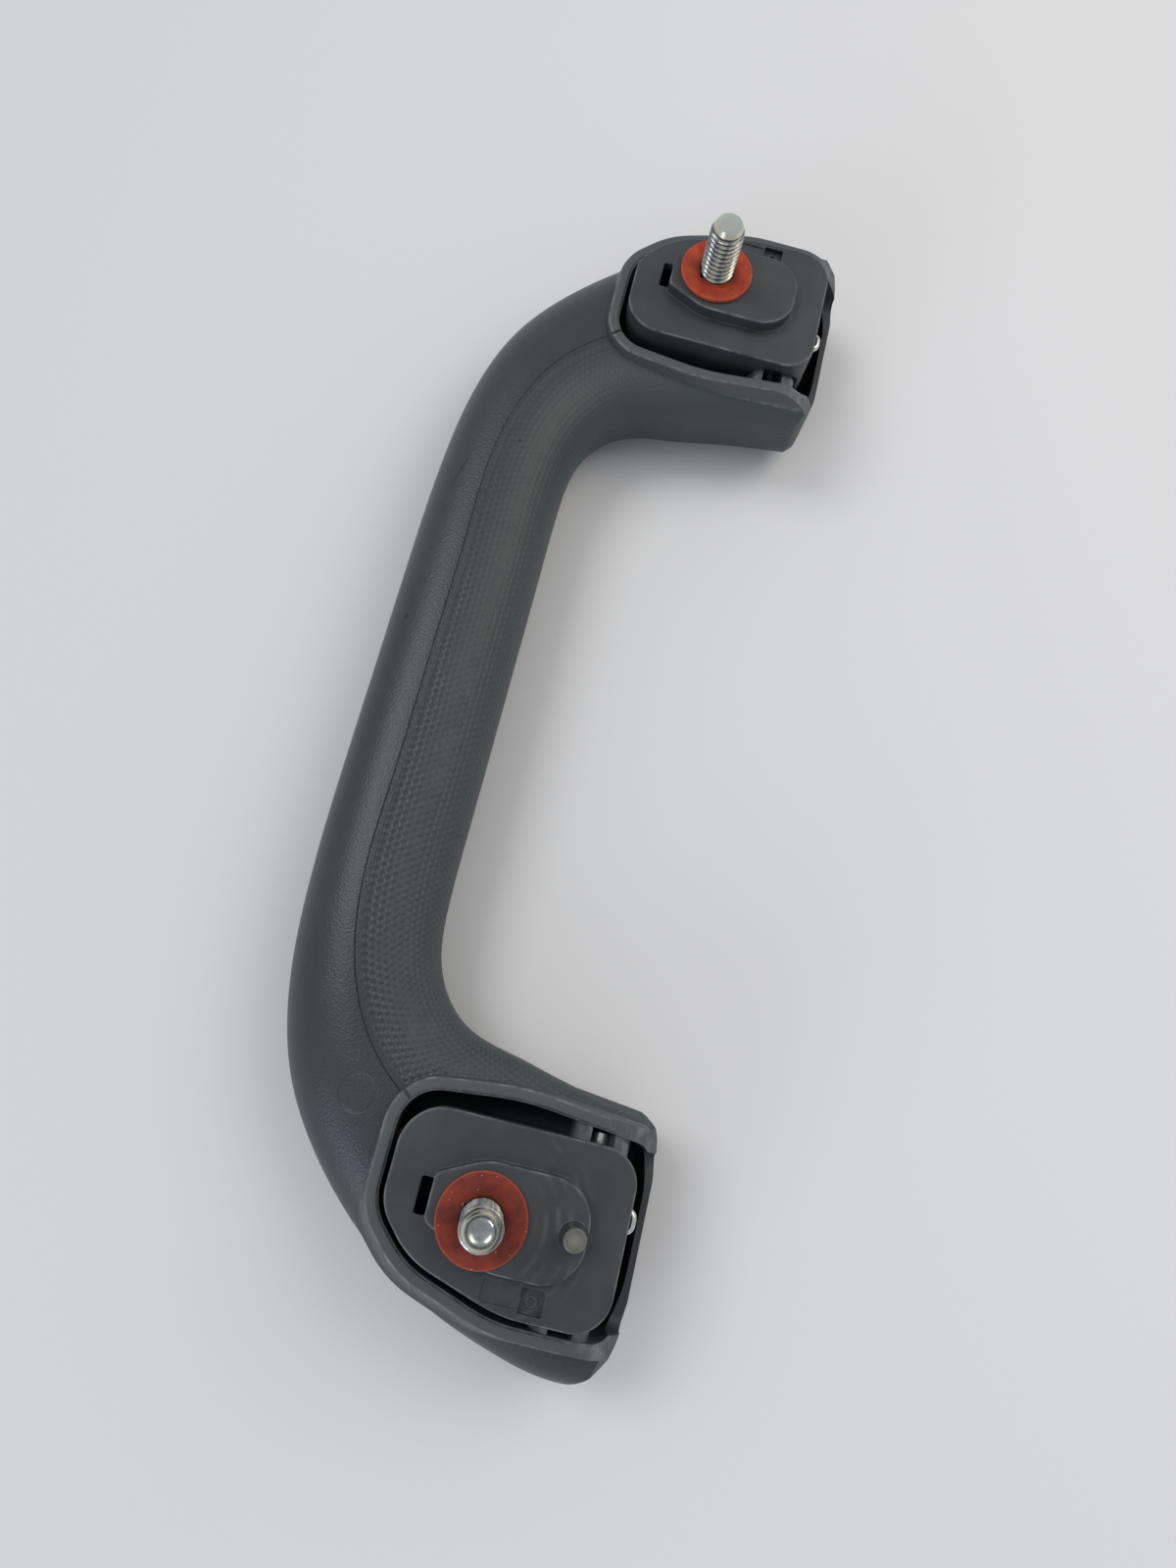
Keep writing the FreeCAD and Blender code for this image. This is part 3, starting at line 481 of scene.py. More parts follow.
def fine_grain(tree, place, size_mm, detail, depth_mm, under=None):
    """Normals of a fine uneven grain, over other normals if given.

    Real grains, pits and fibres are finer than this: each is drawn as coarse as it needs to show.
    """
    noise = node(tree, "TexNoise", {"Vector": place, "Scale": 1 / (size_mm * MM), "Detail": detail})
    inputs = {"Height": noise, "Distance": depth_mm * MM, "Strength": 1.0}
    if under:
        inputs["Normal"] = under
    return node(tree, "Bump", inputs)


def soft_line(tree, distance, at_mm, foot_mm, crest_mm, most=1.0):
    """A line where a distance has one value, fading from crest to foot on both its sides."""
    away = node(tree, "Math", (distance, at_mm * MM), operation="SUBTRACT")
    away = node(tree, "Math", (away,), operation="ABSOLUTE")
    return node(tree, "MapRange", (away, foot_mm * MM, crest_mm * MM, 0.0, most))


def distance_from_axes(tree, place, x, y):
    """Distance from the nearer of the upright axes at (x, y) and (-x, y), which are in mm."""
    parts = node(tree, "SeparateXYZ", (place,)).node.outputs
    mirrored = node(tree, "Math", (parts["X"],), operation="ABSOLUTE")
    flat = node(tree, "CombineXYZ", {"X": mirrored, "Y": parts["Y"]})
    ends = (flat, (x * MM, y * MM, 0))
    return node(tree, "VectorMath", ends, "Value", operation="DISTANCE")


def rounded_edge(tree):
    """1 on rounded edges between faces that look up and faces that look sideways, 0 elsewhere."""
    up = node(tree, "SeparateXYZ", (node(tree, "TexCoord", out="Normal"),), "Z")
    below = node(tree, "MapRange", (up, 0.97, 0.85))
    above = node(tree, "MapRange", (up, 0.25, 0.45))
    return overlap(tree, below, above)


def spot(tree, place, x, y, half_x, half_y, turn):
    """1 inside a small ellipsoid placed and sized in mm, and 0 outside it."""
    inputs = {
        "Vector": place,
        "Location": (x * MM, y * MM, MARK_MIDDLE * MM),
        "Rotation": (0, 0, turn),
        "Scale": (half_x * MM, half_y * MM, MARK_HALF_HEIGHT * MM),
    }
    local = node(tree, "Mapping", inputs, vector_type="TEXTURE")
    away = node(tree, "VectorMath", (local,), "Value", operation="LENGTH")
    return node(tree, "MapRange", (away, 1.0, 0.7))


def paper(colour):
    """Matt paper, pressed: an even pale floor without gloss."""
    return shaded(new_material("paper_matt")[0], {"Base Color": colour, "Roughness": 0.9})


def moulded_plain():
    """Polypropylene, moulded plain: satin, tinted greener on the finger side as a painted
    reflection, painted lighter towards its top as a painted sheen, its edges rubbed pale by
    handling.
    """
    material, tree, place = new_material("polypropylene_moulded_plain")
    x, _, z = node(tree, "SeparateXYZ", (place,)).node.outputs
    from_middle = node(tree, "Math", (x,), operation="ABSOLUTE")
    # Painted reflection: the cup's finger side, nearer the middle, is tinted greener
    finger_side = node(tree, "MapRange", (from_middle, 76 * MM, 72 * MM))
    # Painted sheen: above z -8 mm, fading in from -12 mm, the moulding is painted lighter; the
    # rubbed edges keep to this band
    rise = node(tree, "MapRange", (z, -12 * MM, -8 * MM))
    patchy = patches(tree, place, 1.8, 4, 0.4, 0.68, 0.1, 0.8)
    edge = overlap(tree, rounded_edge(tree), patchy, rise)
    layers = ((finger_side, "#3A4041"), (rise, "#464A4C"), (edge, "#7C8183"))
    return shaded(material, {
        "Base Color": coats(tree, "#303337", *layers),
        "Roughness": 0.5,
        "IOR": 1.49,
        "Normal": fine_grain(tree, place, 0.5, 3, 0.02),
    })


def moulded_grained():
    """Polypropylene, moulded: leather grain on the outer side, raised dots on the finger side."""
    material, tree, place = new_material("polypropylene_moulded_grained")
    x, y, z = node(tree, "SeparateXYZ", (place,)).node.outputs
    parting = node(tree, "SeparateXYZ", (node(tree, "UVMap", uv_map="parting"),), "X")
    field = node(tree, "MapRange", (parting, 0.9 * MM, 1.3 * MM))
    finger = node(tree, "MapRange", (parting, 0.9 * MM, 6 * MM))

    # The rounded tail ends carry no parting line of their own: their finger side goes by its place
    from_middle = node(tree, "Math", (x,), operation="ABSOLUTE")
    inward = node(tree, "MapRange", (from_middle, 76 * MM, 70 * MM))
    tail = node(tree, "MapRange", (y, -15 * MM, -17 * MM))
    tail = overlap(tree, tail, inward)
    finger = node(tree, "Math", (finger, tail), operation="MAXIMUM")

    # Dots in staggered rows, every second row moved by half a dot, worn towards the +X end
    lay = node(tree, "SeparateXYZ", (node(tree, "UVMap", uv_map="lay"),)).node.outputs
    across = node(tree, "Math", (lay["Y"], DOT_ROW * MM), operation="DIVIDE")
    row = node(tree, "Math", (across,), operation="FLOOR")
    shift = node(tree, "Math", (row, 0.5), operation="MULTIPLY")
    along = node(tree, "Math", (lay["X"], DOT_PITCH * MM), operation="DIVIDE")
    along = node(tree, "Math", (along, shift), operation="ADD")
    waves = []
    for value in (across, along):
        share = node(tree, "Math", (value,), operation="FRACT")
        turn = node(tree, "Math", (share, math.pi), operation="MULTIPLY")
        waves.append(node(tree, "Math", (turn,), operation="SINE"))
    worn = node(tree, "MapRange", (x, 60 * MM, -30 * MM, 0.3, 1.0))
    rubbed = patches(tree, place, 2.2, 2, 0.35, 0.65, 0.55, 1.2)
    dots = overlap(tree, *waves, field, worn, rubbed)

    # Leather grain: the real cells are finer, and are drawn as coarse as they need to show
    cells = {"Vector": place, "Scale": 1 / (0.34 * MM)}
    leather = node(tree, "TexVoronoi", cells, feature="SMOOTH_F1")
    plain = node(tree, "Math", (1.0, field), operation="SUBTRACT")
    grain = overlap(tree, leather, plain, 0.34)

    # The border's far edge stands up as a thin ridge, and the ejector's ring is pressed in
    ridge = soft_line(tree, parting, BORDER_RIDGE, 0.25, 0.05, 0.6)
    from_ejector = distance_from_axes(tree, place, *EJECTOR_PLACE)
    ring = soft_line(tree, from_ejector, EJECTOR_RADIUS, 0.22, 0.05)
    at_left = node(tree, "MapRange", (x, 0.0, -1 * MM))
    room_side = node(tree, "MapRange", (z, -16 * MM, -15 * MM))
    ring = overlap(tree, ring, at_left, room_side, 0.5)
    height = node(tree, "Math", (dots, grain), operation="ADD")
    height = node(tree, "Math", (height, ridge), operation="ADD")
    height = node(tree, "Math", (height, ring), operation="SUBTRACT")
    bump = node(tree, "Bump", {"Height": height, "Distance": 0.15 * MM, "Strength": 1.0})

    noise = node(tree, "TexNoise", {"Vector": place, "Scale": 1 / (14 * MM), "Detail": 4.0})
    outer_paint = coats(tree, "#282A2F", (noise, "#303338"))
    # The finger side's colour: the plastic's own, with a painted green reflection in it
    finger_colour_and_green_reflection = coats(tree, "#313B3A", (noise, "#394342"))
    marks = [(spot(tree, place, *mark), "#101216") for mark in SKIN_MARKS]
    return shaded(material, {
        "Base Color": coats(tree, outer_paint, (finger, finger_colour_and_green_reflection), *marks),
        "Roughness": node(tree, "MapRange", (finger, 0.0, 1.0, 0.4, 0.5)),
        "IOR": 1.49,
        "Normal": bump,
    })


def bracket_nylon():
    """Injection-moulded nylon: dull dark grey, edges rubbed pale, turned smears, pale gate mark."""
    material, tree, place = new_material("nylon_moulded_worn")
    x, y, z = node(tree, "SeparateXYZ", (place,)).node.outputs
    cloudy = patches(tree, place, 7, 6, 0.35, 0.65)

    # Edges: where the rounded normal leaves the face's own one
    rounding = node(tree, "Bevel", {"Radius": 0.4 * MM}, samples=4)
    face = node(tree, "NewGeometry", out="Normal")
    bend = node(tree, "VectorMath", (rounding, face), "Value", operation="DOT_PRODUCT")
    patchy = patches(tree, place, 3.5, 5, 0.38, 0.62, 0.06, 0.5)
    edge = node(tree, "MapRange", (bend, 0.99, 0.85, 0.0, 0.55))
    edge = node(tree, "Math", (edge, rounded_edge(tree)), operation="MAXIMUM")
    edge = overlap(tree, edge, patchy)

    # Faint arcs 1.7 mm apart round the bolt, rubbed by a turning tool beside the -X washer
    from_bolt = distance_from_axes(tree, place, BOLT_X, 0.0)
    turns = node(tree, "Math", (from_bolt, 2 * math.pi / (1.7 * MM)), operation="MULTIPLY")
    arcs = node(tree, "Math", (turns,), operation="SINE")
    arcs = node(tree, "MapRange", (arcs, -0.3, 1.0))
    near = node(tree, "MapRange", (from_bolt, 16.5 * MM, 13.5 * MM, 0.0, 0.3))
    smear = patches(tree, place, 4, 2, 0.4, 0.65)
    left = node(tree, "MapRange", (x, 0.0, -1 * MM))
    beside = node(tree, "MapRange", (y, -6 * MM, -11 * MM))
    arcs = overlap(tree, arcs, near, smear, left, beside)

    # Pale, slightly yellow end of the locating peg
    from_peg = distance_from_axes(tree, place, *PEG_PLACE)
    tip = node(tree, "MapRange", (z, 1.9 * MM, 2.35 * MM))
    core = node(tree, "MapRange", (from_peg, 1.6 * MM, 0.2 * MM, 0.2, 0.8))
    tip = overlap(tree, tip, core)

    layers = ((cloudy, "#33363A"), (edge, "#85898B"), (arcs, "#7C7A72"), (tip, "#7A7766"))
    return shaded(material, {
        "Base Color": coats(tree, "#292C2E", *layers),
        "Roughness": 0.5,
        "IOR": 1.53,
        "Normal": fine_grain(tree, place, 0.35, 3, 0.012, rounding),
    })


def cover_plastic():
    """Polypropylene, moulded: satin dark cover with a fine uneven grain and faint cloudy wear."""
    material, tree, place = new_material("polypropylene_cover")
    wear = patches(tree, place, 9, 5, 0.42, 0.72)
    return shaded(material, {
        "Base Color": coats(tree, "#2E3134", (wear, "#36393C")),
        "Roughness": 0.5,
        "IOR": 1.5,
        "Normal": fine_grain(tree, place, 0.5, 3, 0.01),
    })


def steel(name, colour, roughness, scratch_mm):
    """Bare or plated steel: bright metal with fine uneven brightness."""
    material, tree, place = new_material(name)
    gloss = patches(tree, place, scratch_mm, 4, 0.3, 0.7, roughness * 0.7, roughness * 1.4)
    return shaded(material, {"Base Color": colour, "Metallic": 1.0, "Roughness": gloss})


def zinc_on_thread():
    """Bright zinc over rolled steel: a metal mirror, with painted glints as pale, faintly yellow
    streaks and painted shade in the thread's roots.
    """
    material, tree, place = new_material("steel_zinc_plated_bright")
    height = node(tree, "SeparateXYZ", (place,), "Z")
    cloud = node(tree, "TexNoise", {"Vector": place, "Scale": 1 / (1.2 * MM), "Detail": 3.0})

    # Painted glints: pale streaks along the screw, faintly yellow in clouds, which end at its tip;
    # the tip takes their pale colour all over
    drawn = node(tree, "VectorMath", (place, (1.0, 1.0, 0.12)), operation="MULTIPLY")
    glint_streaks = patches(tree, drawn, 1.1, 2, 0.38, 0.62)
    at_tip = node(tree, "MapRange", (height, 9.5 * MM, 9.8 * MM))
    glint_streaks = node(tree, "Math", (glint_streaks, at_tip), operation="MAXIMUM")
    pale_glint_colour = coats(tree, "#BFC6CD", (cloud, "#DDD1A6"))

    # Painted shade in the thread's roots, from the washer to the tip
    from_axis = distance_from_axes(tree, place, BOLT_X, 0.0)
    root = node(tree, "MapRange", (from_axis, 2.8 * MM, 2.55 * MM))
    threaded = node(tree, "MapRange", (height, -0.2 * MM, 0.2 * MM))
    below_tip = node(tree, "MapRange", (height, 9.9 * MM, 9.7 * MM))
    root_shade = overlap(tree, root, threaded, below_tip)

    # Mottled dark and pale inside of the tip's end, and a darker ring round it
    fine = node(tree, "TexNoise", {"Vector": place, "Scale": 1 / (0.7 * MM), "Detail": 3.0})
    worn = coats(tree, "#5F666B", (fine, "#C3C7C4"))
    end = node(tree, "MapRange", (height, 9.75 * MM, 9.95 * MM))
    inside = node(tree, "MapRange", (from_axis, 2.05 * MM, 1.95 * MM, 0.0, 0.85))
    inside = overlap(tree, inside, end)
    ring = overlap(tree, soft_line(tree, from_axis, 2.05, 0.14, 0.04, 0.5), end)

    layers = ((glint_streaks, pale_glint_colour), (root_shade, "#5A5A54"), (inside, worn), (ring, "#3F4448"))
    return shaded(material, {
        "Base Color": coats(tree, "#858A8F", *layers),
        "Metallic": 1.0,
        "Roughness": node(tree, "MapRange", (cloud, 0.3, 0.7, 0.16, 0.32)),
    })


def zinc_on_tip():
    """Zinc on the sheared end of the screw: duller, grey-green and pitted."""
    material, tree, place = new_material("steel_zinc_plated_dull")
    return shaded(material, {
        "Base Color": "#AEB6B0",
        "Metallic": 1.0,
        "Roughness": 0.5,
        "Normal": fine_grain(tree, place, 0.5, 4, 0.05),
    })


def vulcanised_fibre(name, dark, light):
    """Vulcanised fibre, punched: matt brick red, mottled, with pale dust, a paler outer edge and
    painted shade towards the bore.
    """
    material, tree, place = new_material(name)
    mottle = patches(tree, place, 2.6, 6, 0.35, 0.65)
    from_axis = distance_from_axes(tree, place, BOLT_X, 0.0)
    edge = node(tree, "MapRange", (from_axis, 6.1 * MM, 6.4 * MM, 0.0, 0.45))
    # Painted shade: the fibre darkens towards the bore, round the screw
    bore = node(tree, "MapRange", (from_axis, 4.2 * MM, 3.1 * MM, 0.0, 0.6))
    specks = node(tree, "TexVoronoi", {"Vector": place, "Scale": 1 / (1.1 * MM)}, feature="F1")
    dust = node(tree, "MapRange", (specks, 0.09, 0.05))
    layers = ((mottle, light), (edge, "#B4553C"), (bore, "#4E130C"), (dust, "#C98A74"))
    return shaded(material, {
        "Base Color": coats(tree, dark, *layers),
        "Roughness": 0.75,
        "IOR": 1.5,
        "Normal": fine_grain(tree, place, 0.25, 3, 0.03),
    })


# Settings ------------------------------------------------------------------------------------


class StageSettings(bpy.types.PropertyGroup):
    """Floor, lamps and camera."""

    floor_colour: bpy.props.StringProperty(
        name="Floor colour", description="Colour of the floor, as sRGB hex", default="#D6D6D6"
    )
    floor_size: bpy.props.FloatProperty(
        name="Floor size", description="Side of the square floor", default=6.0, unit="LENGTH"
    )
    key_strength: bpy.props.FloatProperty(
        name="Key light", description="Strength of the soft light from the outer side", default=0.9
    )
    key_width: bpy.props.FloatProperty(
        name="Key width", description="Width of the key light", default=0.45, subtype="ANGLE"
    )
    door_power: bpy.props.FloatProperty(
        name="Low lamp", description="Cool panel low beyond the -X end", default=2.8, unit="POWER"
    )
    ceiling_power: bpy.props.FloatProperty(
        name="Ceiling lamp", description="Warm panel on the finger side", default=1.6, unit="POWER"
    )
    room_light: bpy.props.FloatProperty(
        name="Room light", description="Even light from all round", default=0.54
    )
    room_colour: bpy.props.StringProperty(
        name="Room colour", description="Colour of the even light, as sRGB hex", default="#F1F6FF"
    )
    lens: bpy.props.FloatProperty(
        name="Lens", description="Length for a 36 mm high picture", default=24.19, unit="CAMERA"
    )


class GripSettings(bpy.types.PropertyGroup):
    """Fine shape of the moulding's skin."""

    groove_width: bpy.props.FloatProperty(
        name="Groove width", description="Width of the groove", default=0.3 * MM, unit="LENGTH"
    )
    groove_depth: bpy.props.FloatProperty(
        name="Groove depth", description="Depth of the groove", default=0.14 * MM, unit="LENGTH"
    )
    border_width: bpy.props.FloatProperty(
        name="Border width", description="Plain band by the groove", default=1.0 * MM, unit="LENGTH"
    )
    field_sink: bpy.props.FloatProperty(
        name="Field sink", description="Drop to the textured side", default=0.1 * MM, unit="LENGTH"
    )
    station_step: bpy.props.FloatProperty(
        name="Station step", description="Distance between loops", default=0.8 * MM, unit="LENGTH"
    )
    finger_columns: bpy.props.IntProperty(
        name="Finger columns", description="Points round the finger side", default=44, min=8
    )
    outer_columns: bpy.props.IntProperty(
        name="Outer columns", description="Points round the outer side", default=44, min=8
    )


class FastenerSettings(bpy.types.PropertyGroup):
    """Screws and washers."""

    thread_pitch: bpy.props.FloatProperty(
        name="Thread pitch", description="Rise in one turn", default=1.0 * MM, unit="LENGTH"
    )
    thread_depth: bpy.props.FloatProperty(
        name="Thread depth", description="Height of the ridge", default=0.55 * MM, unit="LENGTH"
    )
    dish_right: bpy.props.FloatProperty(
        name="Right tip dish", description="Hollow in the +X tip", default=0.05 * MM, unit="LENGTH"
    )
    dish_left: bpy.props.FloatProperty(
        name="Left tip dish", description="Hollow in the -X tip", default=0.7 * MM, unit="LENGTH"
    )
    washer_bore: bpy.props.FloatProperty(
        name="Washer bore", description="Radius of the hole", default=3.05 * MM, unit="LENGTH"
    )
    notch_depth: bpy.props.FloatProperty(
        name="Bore notch", description="Depth of the torn notches", default=0.45 * MM, unit="LENGTH"
    )


class HandleSettings(bpy.types.PropertyGroup):
    """Everything a user would change."""

    stage: bpy.props.PointerProperty(
        name="Stage", description="Floor, lamps and camera", type=StageSettings
    )
    grip: bpy.props.PointerProperty(
        name="Grip", description="Fine shape of the moulding's skin", type=GripSettings
    )
    fasteners: bpy.props.PointerProperty(
        name="Fasteners", description="Screws and washers", type=FastenerSettings
    )


# Pieces --------------------------------------------------------------------------------------


class GRAB_HANDLE_OT_stage(bpy.types.Operator):
    """Lay the pale floor and set the lamps and the camera"""

    bl_idname = "grab_handle.stage"
    bl_label = "Stage"

    def execute(self, context):
        scene = context.scene
        settings = scene.grab_handle.stage

        half = settings.floor_size / 2
        corners = [(x * half, y * half, FRONT_FACE * MM) for x, y in SQUARE]
        mesh = bpy.data.meshes.new("floor")
        mesh.from_pydata(corners, [], [(0, 1, 2, 3)])
        new_object("floor", mesh, paper(settings.floor_colour))

        world = bpy.data.worlds.new("soft_room")
        scene.world = world
        world.use_nodes = True
        room = world.node_tree.nodes["Background"]
        room.inputs["Strength"].default_value = settings.room_light
        room.inputs["Color"].default_value = linear(settings.room_colour)

        sun = bpy.data.lights.new("window", "SUN")
        sun.energy = settings.key_strength
        sun.angle = settings.key_width
        window = new_object("window", sun)
        window.rotation_euler = Vector(SUN_WAY).to_track_quat("Z", "Y").to_euler()

        panels = (
            ("ceiling", CEILING_PLACE, settings.ceiling_power, "#FFF6E8"),
            ("door", DOOR_PLACE, settings.door_power, "#E8F0FF"),
        )
        for name, place, power, colour in panels:
            panel = bpy.data.lights.new(name, "AREA")
            panel.size = PANEL_SIDE
            panel.energy = power
            panel.color = linear(colour)[:3]
            holder = new_object(name, panel)
            holder.location = place
            holder.rotation_euler = holder.location.to_track_quat("Z", "Y").to_euler()

        camera = bpy.data.cameras.new("camera")
        camera.sensor_fit = "VERTICAL"
        camera.sensor_height = 36.0
        camera.lens = settings.lens
        camera.clip_start = 0.01
        viewer = new_object("camera", camera)
        back = Vector(CAMERA_BACK).normalized()
        up = back.cross(Vector(CAMERA_RIGHT)).normalized()
        turned = Matrix((up.cross(back), up, back)).transposed().to_4x4()
        viewer.matrix_world = Matrix.Translation(Vector(CAMERA_PLACE) * MM) @ turned
        scene.camera = viewer
        scene.view_settings.view_transform = "Standard"
        return {"FINISHED"}


def natural_spline(knots, values, at):
    """Values at some places on the smooth curve through values at the knots."""
    count = len(knots)
    gaps = np.diff(knots)
    rises = np.diff(values, axis=0) / gaps[:, None]
    system = np.eye(count)
    wanted = np.zeros((count, values.shape[1]))
    for i in range(1, count - 1):
        system[i, i - 1 : i + 2] = (gaps[i - 1], 2 * (gaps[i - 1] + gaps[i]), gaps[i])
        wanted[i] = 6 * (rises[i] - rises[i - 1])
    bend = np.linalg.solve(system, wanted)
    i = np.clip(np.searchsorted(knots, at) - 1, 0, count - 2)
    along = (at - knots[i])[:, None]
    gap = gaps[i][:, None]
    slope = rises[i] - gap * (2 * bend[i] + bend[i + 1]) / 6
    twist = (bend[i + 1] - bend[i]) / (6 * gap)
    return values[i] + along * slope + along**2 * bend[i] / 2 + along**3 * twist


def quarter(begin, finish, square, steps=60):
    """Points of a quarter of a rounded section, from begin to finish, without its last point."""
    turns = np.linspace(0, math.pi / 2, steps, endpoint=False)[:, None]
    return begin * np.cos(turns) ** (2 / square) + finish * np.sin(turns) ** (2 / square)


def lengths_along(path):
    """Length from a path's start to each of its points."""
    return np.r_[0, np.cumsum(np.linalg.norm(np.diff(path, axis=0), axis=1))]


def place_on(path, across, value):
    """Length along a path at which its across value first passes the wanted one."""
    order = np.argsort(across)
    return np.interp(value, across[order], lengths_along(path)[order])


def section_loop(row, sizes):
    """One loop of the skin, from the upper parting line round by the finger side.

    Gives its points, their distance from the parting line, below 0 on the outer side, and their
    place round the bar.
    """
    finger = np.array((row[0], row[1], BAR_MIDDLE))
    outer = np.array((row[2], row[3], BAR_MIDDLE))
    across = (outer - finger) / 2
    up = np.array((0, 0, BAR_HALF_THICKNESS))
    top = np.vstack((quarter(across, up, row[5]), quarter(up, -across, row[4]), -across[None]))
    low = np.vstack((quarter(-across, -up, row[6]), quarter(-up, across, row[6]), across[None]))
    unit = across / (across @ across)
    start = place_on(top, top @ unit, row[7])
    low_seam = place_on(low, low @ unit, row[7])
    path = np.vstack((top, low[1:], top[1:]))
    top_length = lengths_along(top)[-1]
    finger_length = top_length + low_seam - start
    outer_length = lengths_along(low)[-1] + start - low_seam

    near = np.array(sizes["near"])
    inner = np.linspace(near[-1], finger_length - near[-1], sizes["finger_columns"])[1:-1]
    finger_at = np.r_[0, near, inner, finger_length - near[::-1]]
    inner = np.linspace(near[1], outer_length - near[1], sizes["outer_columns"])[1:-1]
    outer_at = np.r_[0, near[:2], inner, outer_length - near[1::-1]]
    at = np.r_[start + finger_at, top_length + low_seam + outer_at]
    steps = lengths_along(path)
    points = np.column_stack([np.interp(at, steps, path[:, k]) for k in range(3)])
    finger_seam = np.minimum(finger_at, finger_length - finger_at)
    outer_seam = np.minimum(outer_at, outer_length - outer_at)
    around = np.r_[finger_at, outer_at - outer_length]
    return (finger + outer) / 2 + points, np.r_[finger_seam, -outer_seam], around


def skin_mesh(sizes):
    """The moulding's outer skin, with its parting groove and the sunk, textured finger side."""
    table = np.array(GRIP_SECTIONS, float)
    table[:, (0, 2)] += BOLT_X
    mirrored = table.copy()
    mirrored[:, (0, 2)] *= -1
    rows = np.vstack((mirrored[::-1], table[1:]))
    knots = lengths_along((rows[:, :2] + rows[:, 2:4]) / 2)
    stations = np.linspace(0, knots[-1], math.ceil(knots[-1] / sizes["station_step"]))
    lines = natural_spline(knots, rows, stations)
    made = [section_loop(row, sizes) for row in lines]
    loops, seams, arounds = (np.array(part) for part in zip(*made))

    # Outward normals, for the groove and the sunk field
    along = np.gradient(loops, axis=0)
    round_loop = np.roll(loops, -1, 1) - np.roll(loops, 1, 1)
    normals = np.cross(along, round_loop)
    normals /= np.linalg.norm(normals, axis=2)[:, :, None]
    if np.sum(normals[:, :, 2] * (loops[:, :, 2] - BAR_MIDDLE)) < 0:
        normals *= -1
    half = sizes["groove_half"]
    sink = np.interp(
        seams,
        (-half, 0, half, sizes["border"], sizes["border"] + FIELD_STEP),
        (0, sizes["groove_depth"], 0, 0, sizes["field_sink"]),
    )
    loops = loops - normals * sink[:, :, None]

    count, columns = seams.shape
    index = np.arange(count * columns).reshape(count, columns)
    after = np.roll(index, -1, 1)
    quads = np.stack((index[:-1], after[:-1], after[1:], index[1:]), axis=-1).reshape(-1, 4)
    caps = [index[0][::-1].tolist(), index[-1].tolist()]
    mesh = bpy.data.meshes.new("skin")
    mesh.from_pydata((loops.reshape(-1, 3) * MM).tolist(), [], quads.tolist() + caps)

    # Two layers in metres: place along and round the bar, and distance from the parting line
    vertex = np.zeros(len(mesh.loops), np.int32)
    mesh.loops.foreach_get("vertex_index", vertex)
    lay = (np.repeat(stations, columns), arounds.reshape(-1))
    parting = (seams.reshape(-1), np.zeros(count * columns))
    for name, values in (("lay", lay), ("parting", parting)):
        uv = (np.column_stack(values)[vertex] * MM).astype(np.float32)
        mesh.uv_layers.new(name=name).data.foreach_set("uv", uv.reshape(-1))
    shape = bmesh.new()
    shape.from_mesh(mesh)
    return closed(shape, mesh)


def rim_form():
    """Raised band round a cup's mouth: flared foot, upright side and rounded top edge."""
    rings = []
    for share in RIM_STEPS:
        grow = RIM_WIDTH + RIM_FLARE * (1 - share) ** 2
        rings.append((grow, RIM_TOP - RIM_FLARE_DEPTH * (1 - share)))
    for inward, up in quarter_round(RIM_EDGE_ROUND):
        rings.append((RIM_WIDTH - inward, RIM_TOP - RIM_EDGE_ROUND + up))
    outline = rounded(CAVITY_OUTLINE)
    return [at_bolt(grown(outline, grow), z) for grow, z in rings]


def cavity_form():
    """Hollow of a cup: rounded floor, straight wall and rounded mouth."""
    rings = []
    for inward, up in reversed(quarter_round(FLOOR_ROUND)):
        rings.append((-inward, CUP_FLOOR + FLOOR_ROUND - up))
    for up, inward in reversed(quarter_round(MOUTH_EDGE_ROUND)):
        rings.append((MOUTH_EDGE_ROUND - up, RIM_TOP - inward))
    rings.append((MOUTH_EDGE_ROUND, RIM_TOP + OVERSHOOT))
    outline = rounded(CAVITY_OUTLINE)
    return [at_bolt(grown(outline, grow), z) for grow, z in rings]


def opening_form():
    """Way out over the low tail wall."""
    low_u = -CAVITY_FINGER_SIDE + OPENING_INSETS[0]
    high_u = CAVITY_OUTER_SIDE - OPENING_INSETS[1]
    corners = trough(low_u, high_u, TAIL_WALL_TOP, RIM_TOP + OVERSHOOT, OPENING_CORNER)
    y_values = (-CAVITY_TAIL + 3 * OVERSHOOT, -CUP_TAIL - OVERSHOOT)
    return [lengthwise(rounded(corners), y) for y in y_values]


def notch_form():
    """Nick where the parting line crosses the rim."""
    length, width, height = NOTCH_HALF_SIZES
    turn = math.radians(NOTCH_TURN)
    along = np.array((math.cos(turn), math.sin(turn), 0))
    across = np.array((-math.sin(turn), math.cos(turn), 0))
    ring = np.array([NOTCH_PLACE + a * length * along + b * width * across for a, b in SQUARE])
    return [ring - np.array((0, 0, height)), ring + np.array((0, 0, height))]


def roll_form():
    """Room inside a cup's rounded end, as a closed form."""
    rings = []
    for angle in TAIL_ROLL_ANGLES:
        turn = math.radians(angle)
        inset, rise = (
            (reach + TAIL_ROLL_STAND_OFF) * (1 - math.cos(turn)) - TAIL_ROLL_STAND_OFF
            for reach in (TAIL_ROLL_INSET, TAIL_ROLL_RISE)
        )
        sides = (-CUP_FINGER_SIDE + inset, CUP_OUTER_SIDE - inset)
        corners = trough(*sides, FRONT_FACE + rise, RIM_TOP + 2 * OVERSHOOT, TAIL_ROLL_CORNER)
        y = -CUP_TAIL + TAIL_ROLL_LENGTH * (1 - math.sin(turn))
        rings.append(lengthwise(rounded(corners[-1:] + corners[:-1]), y))
    return rings


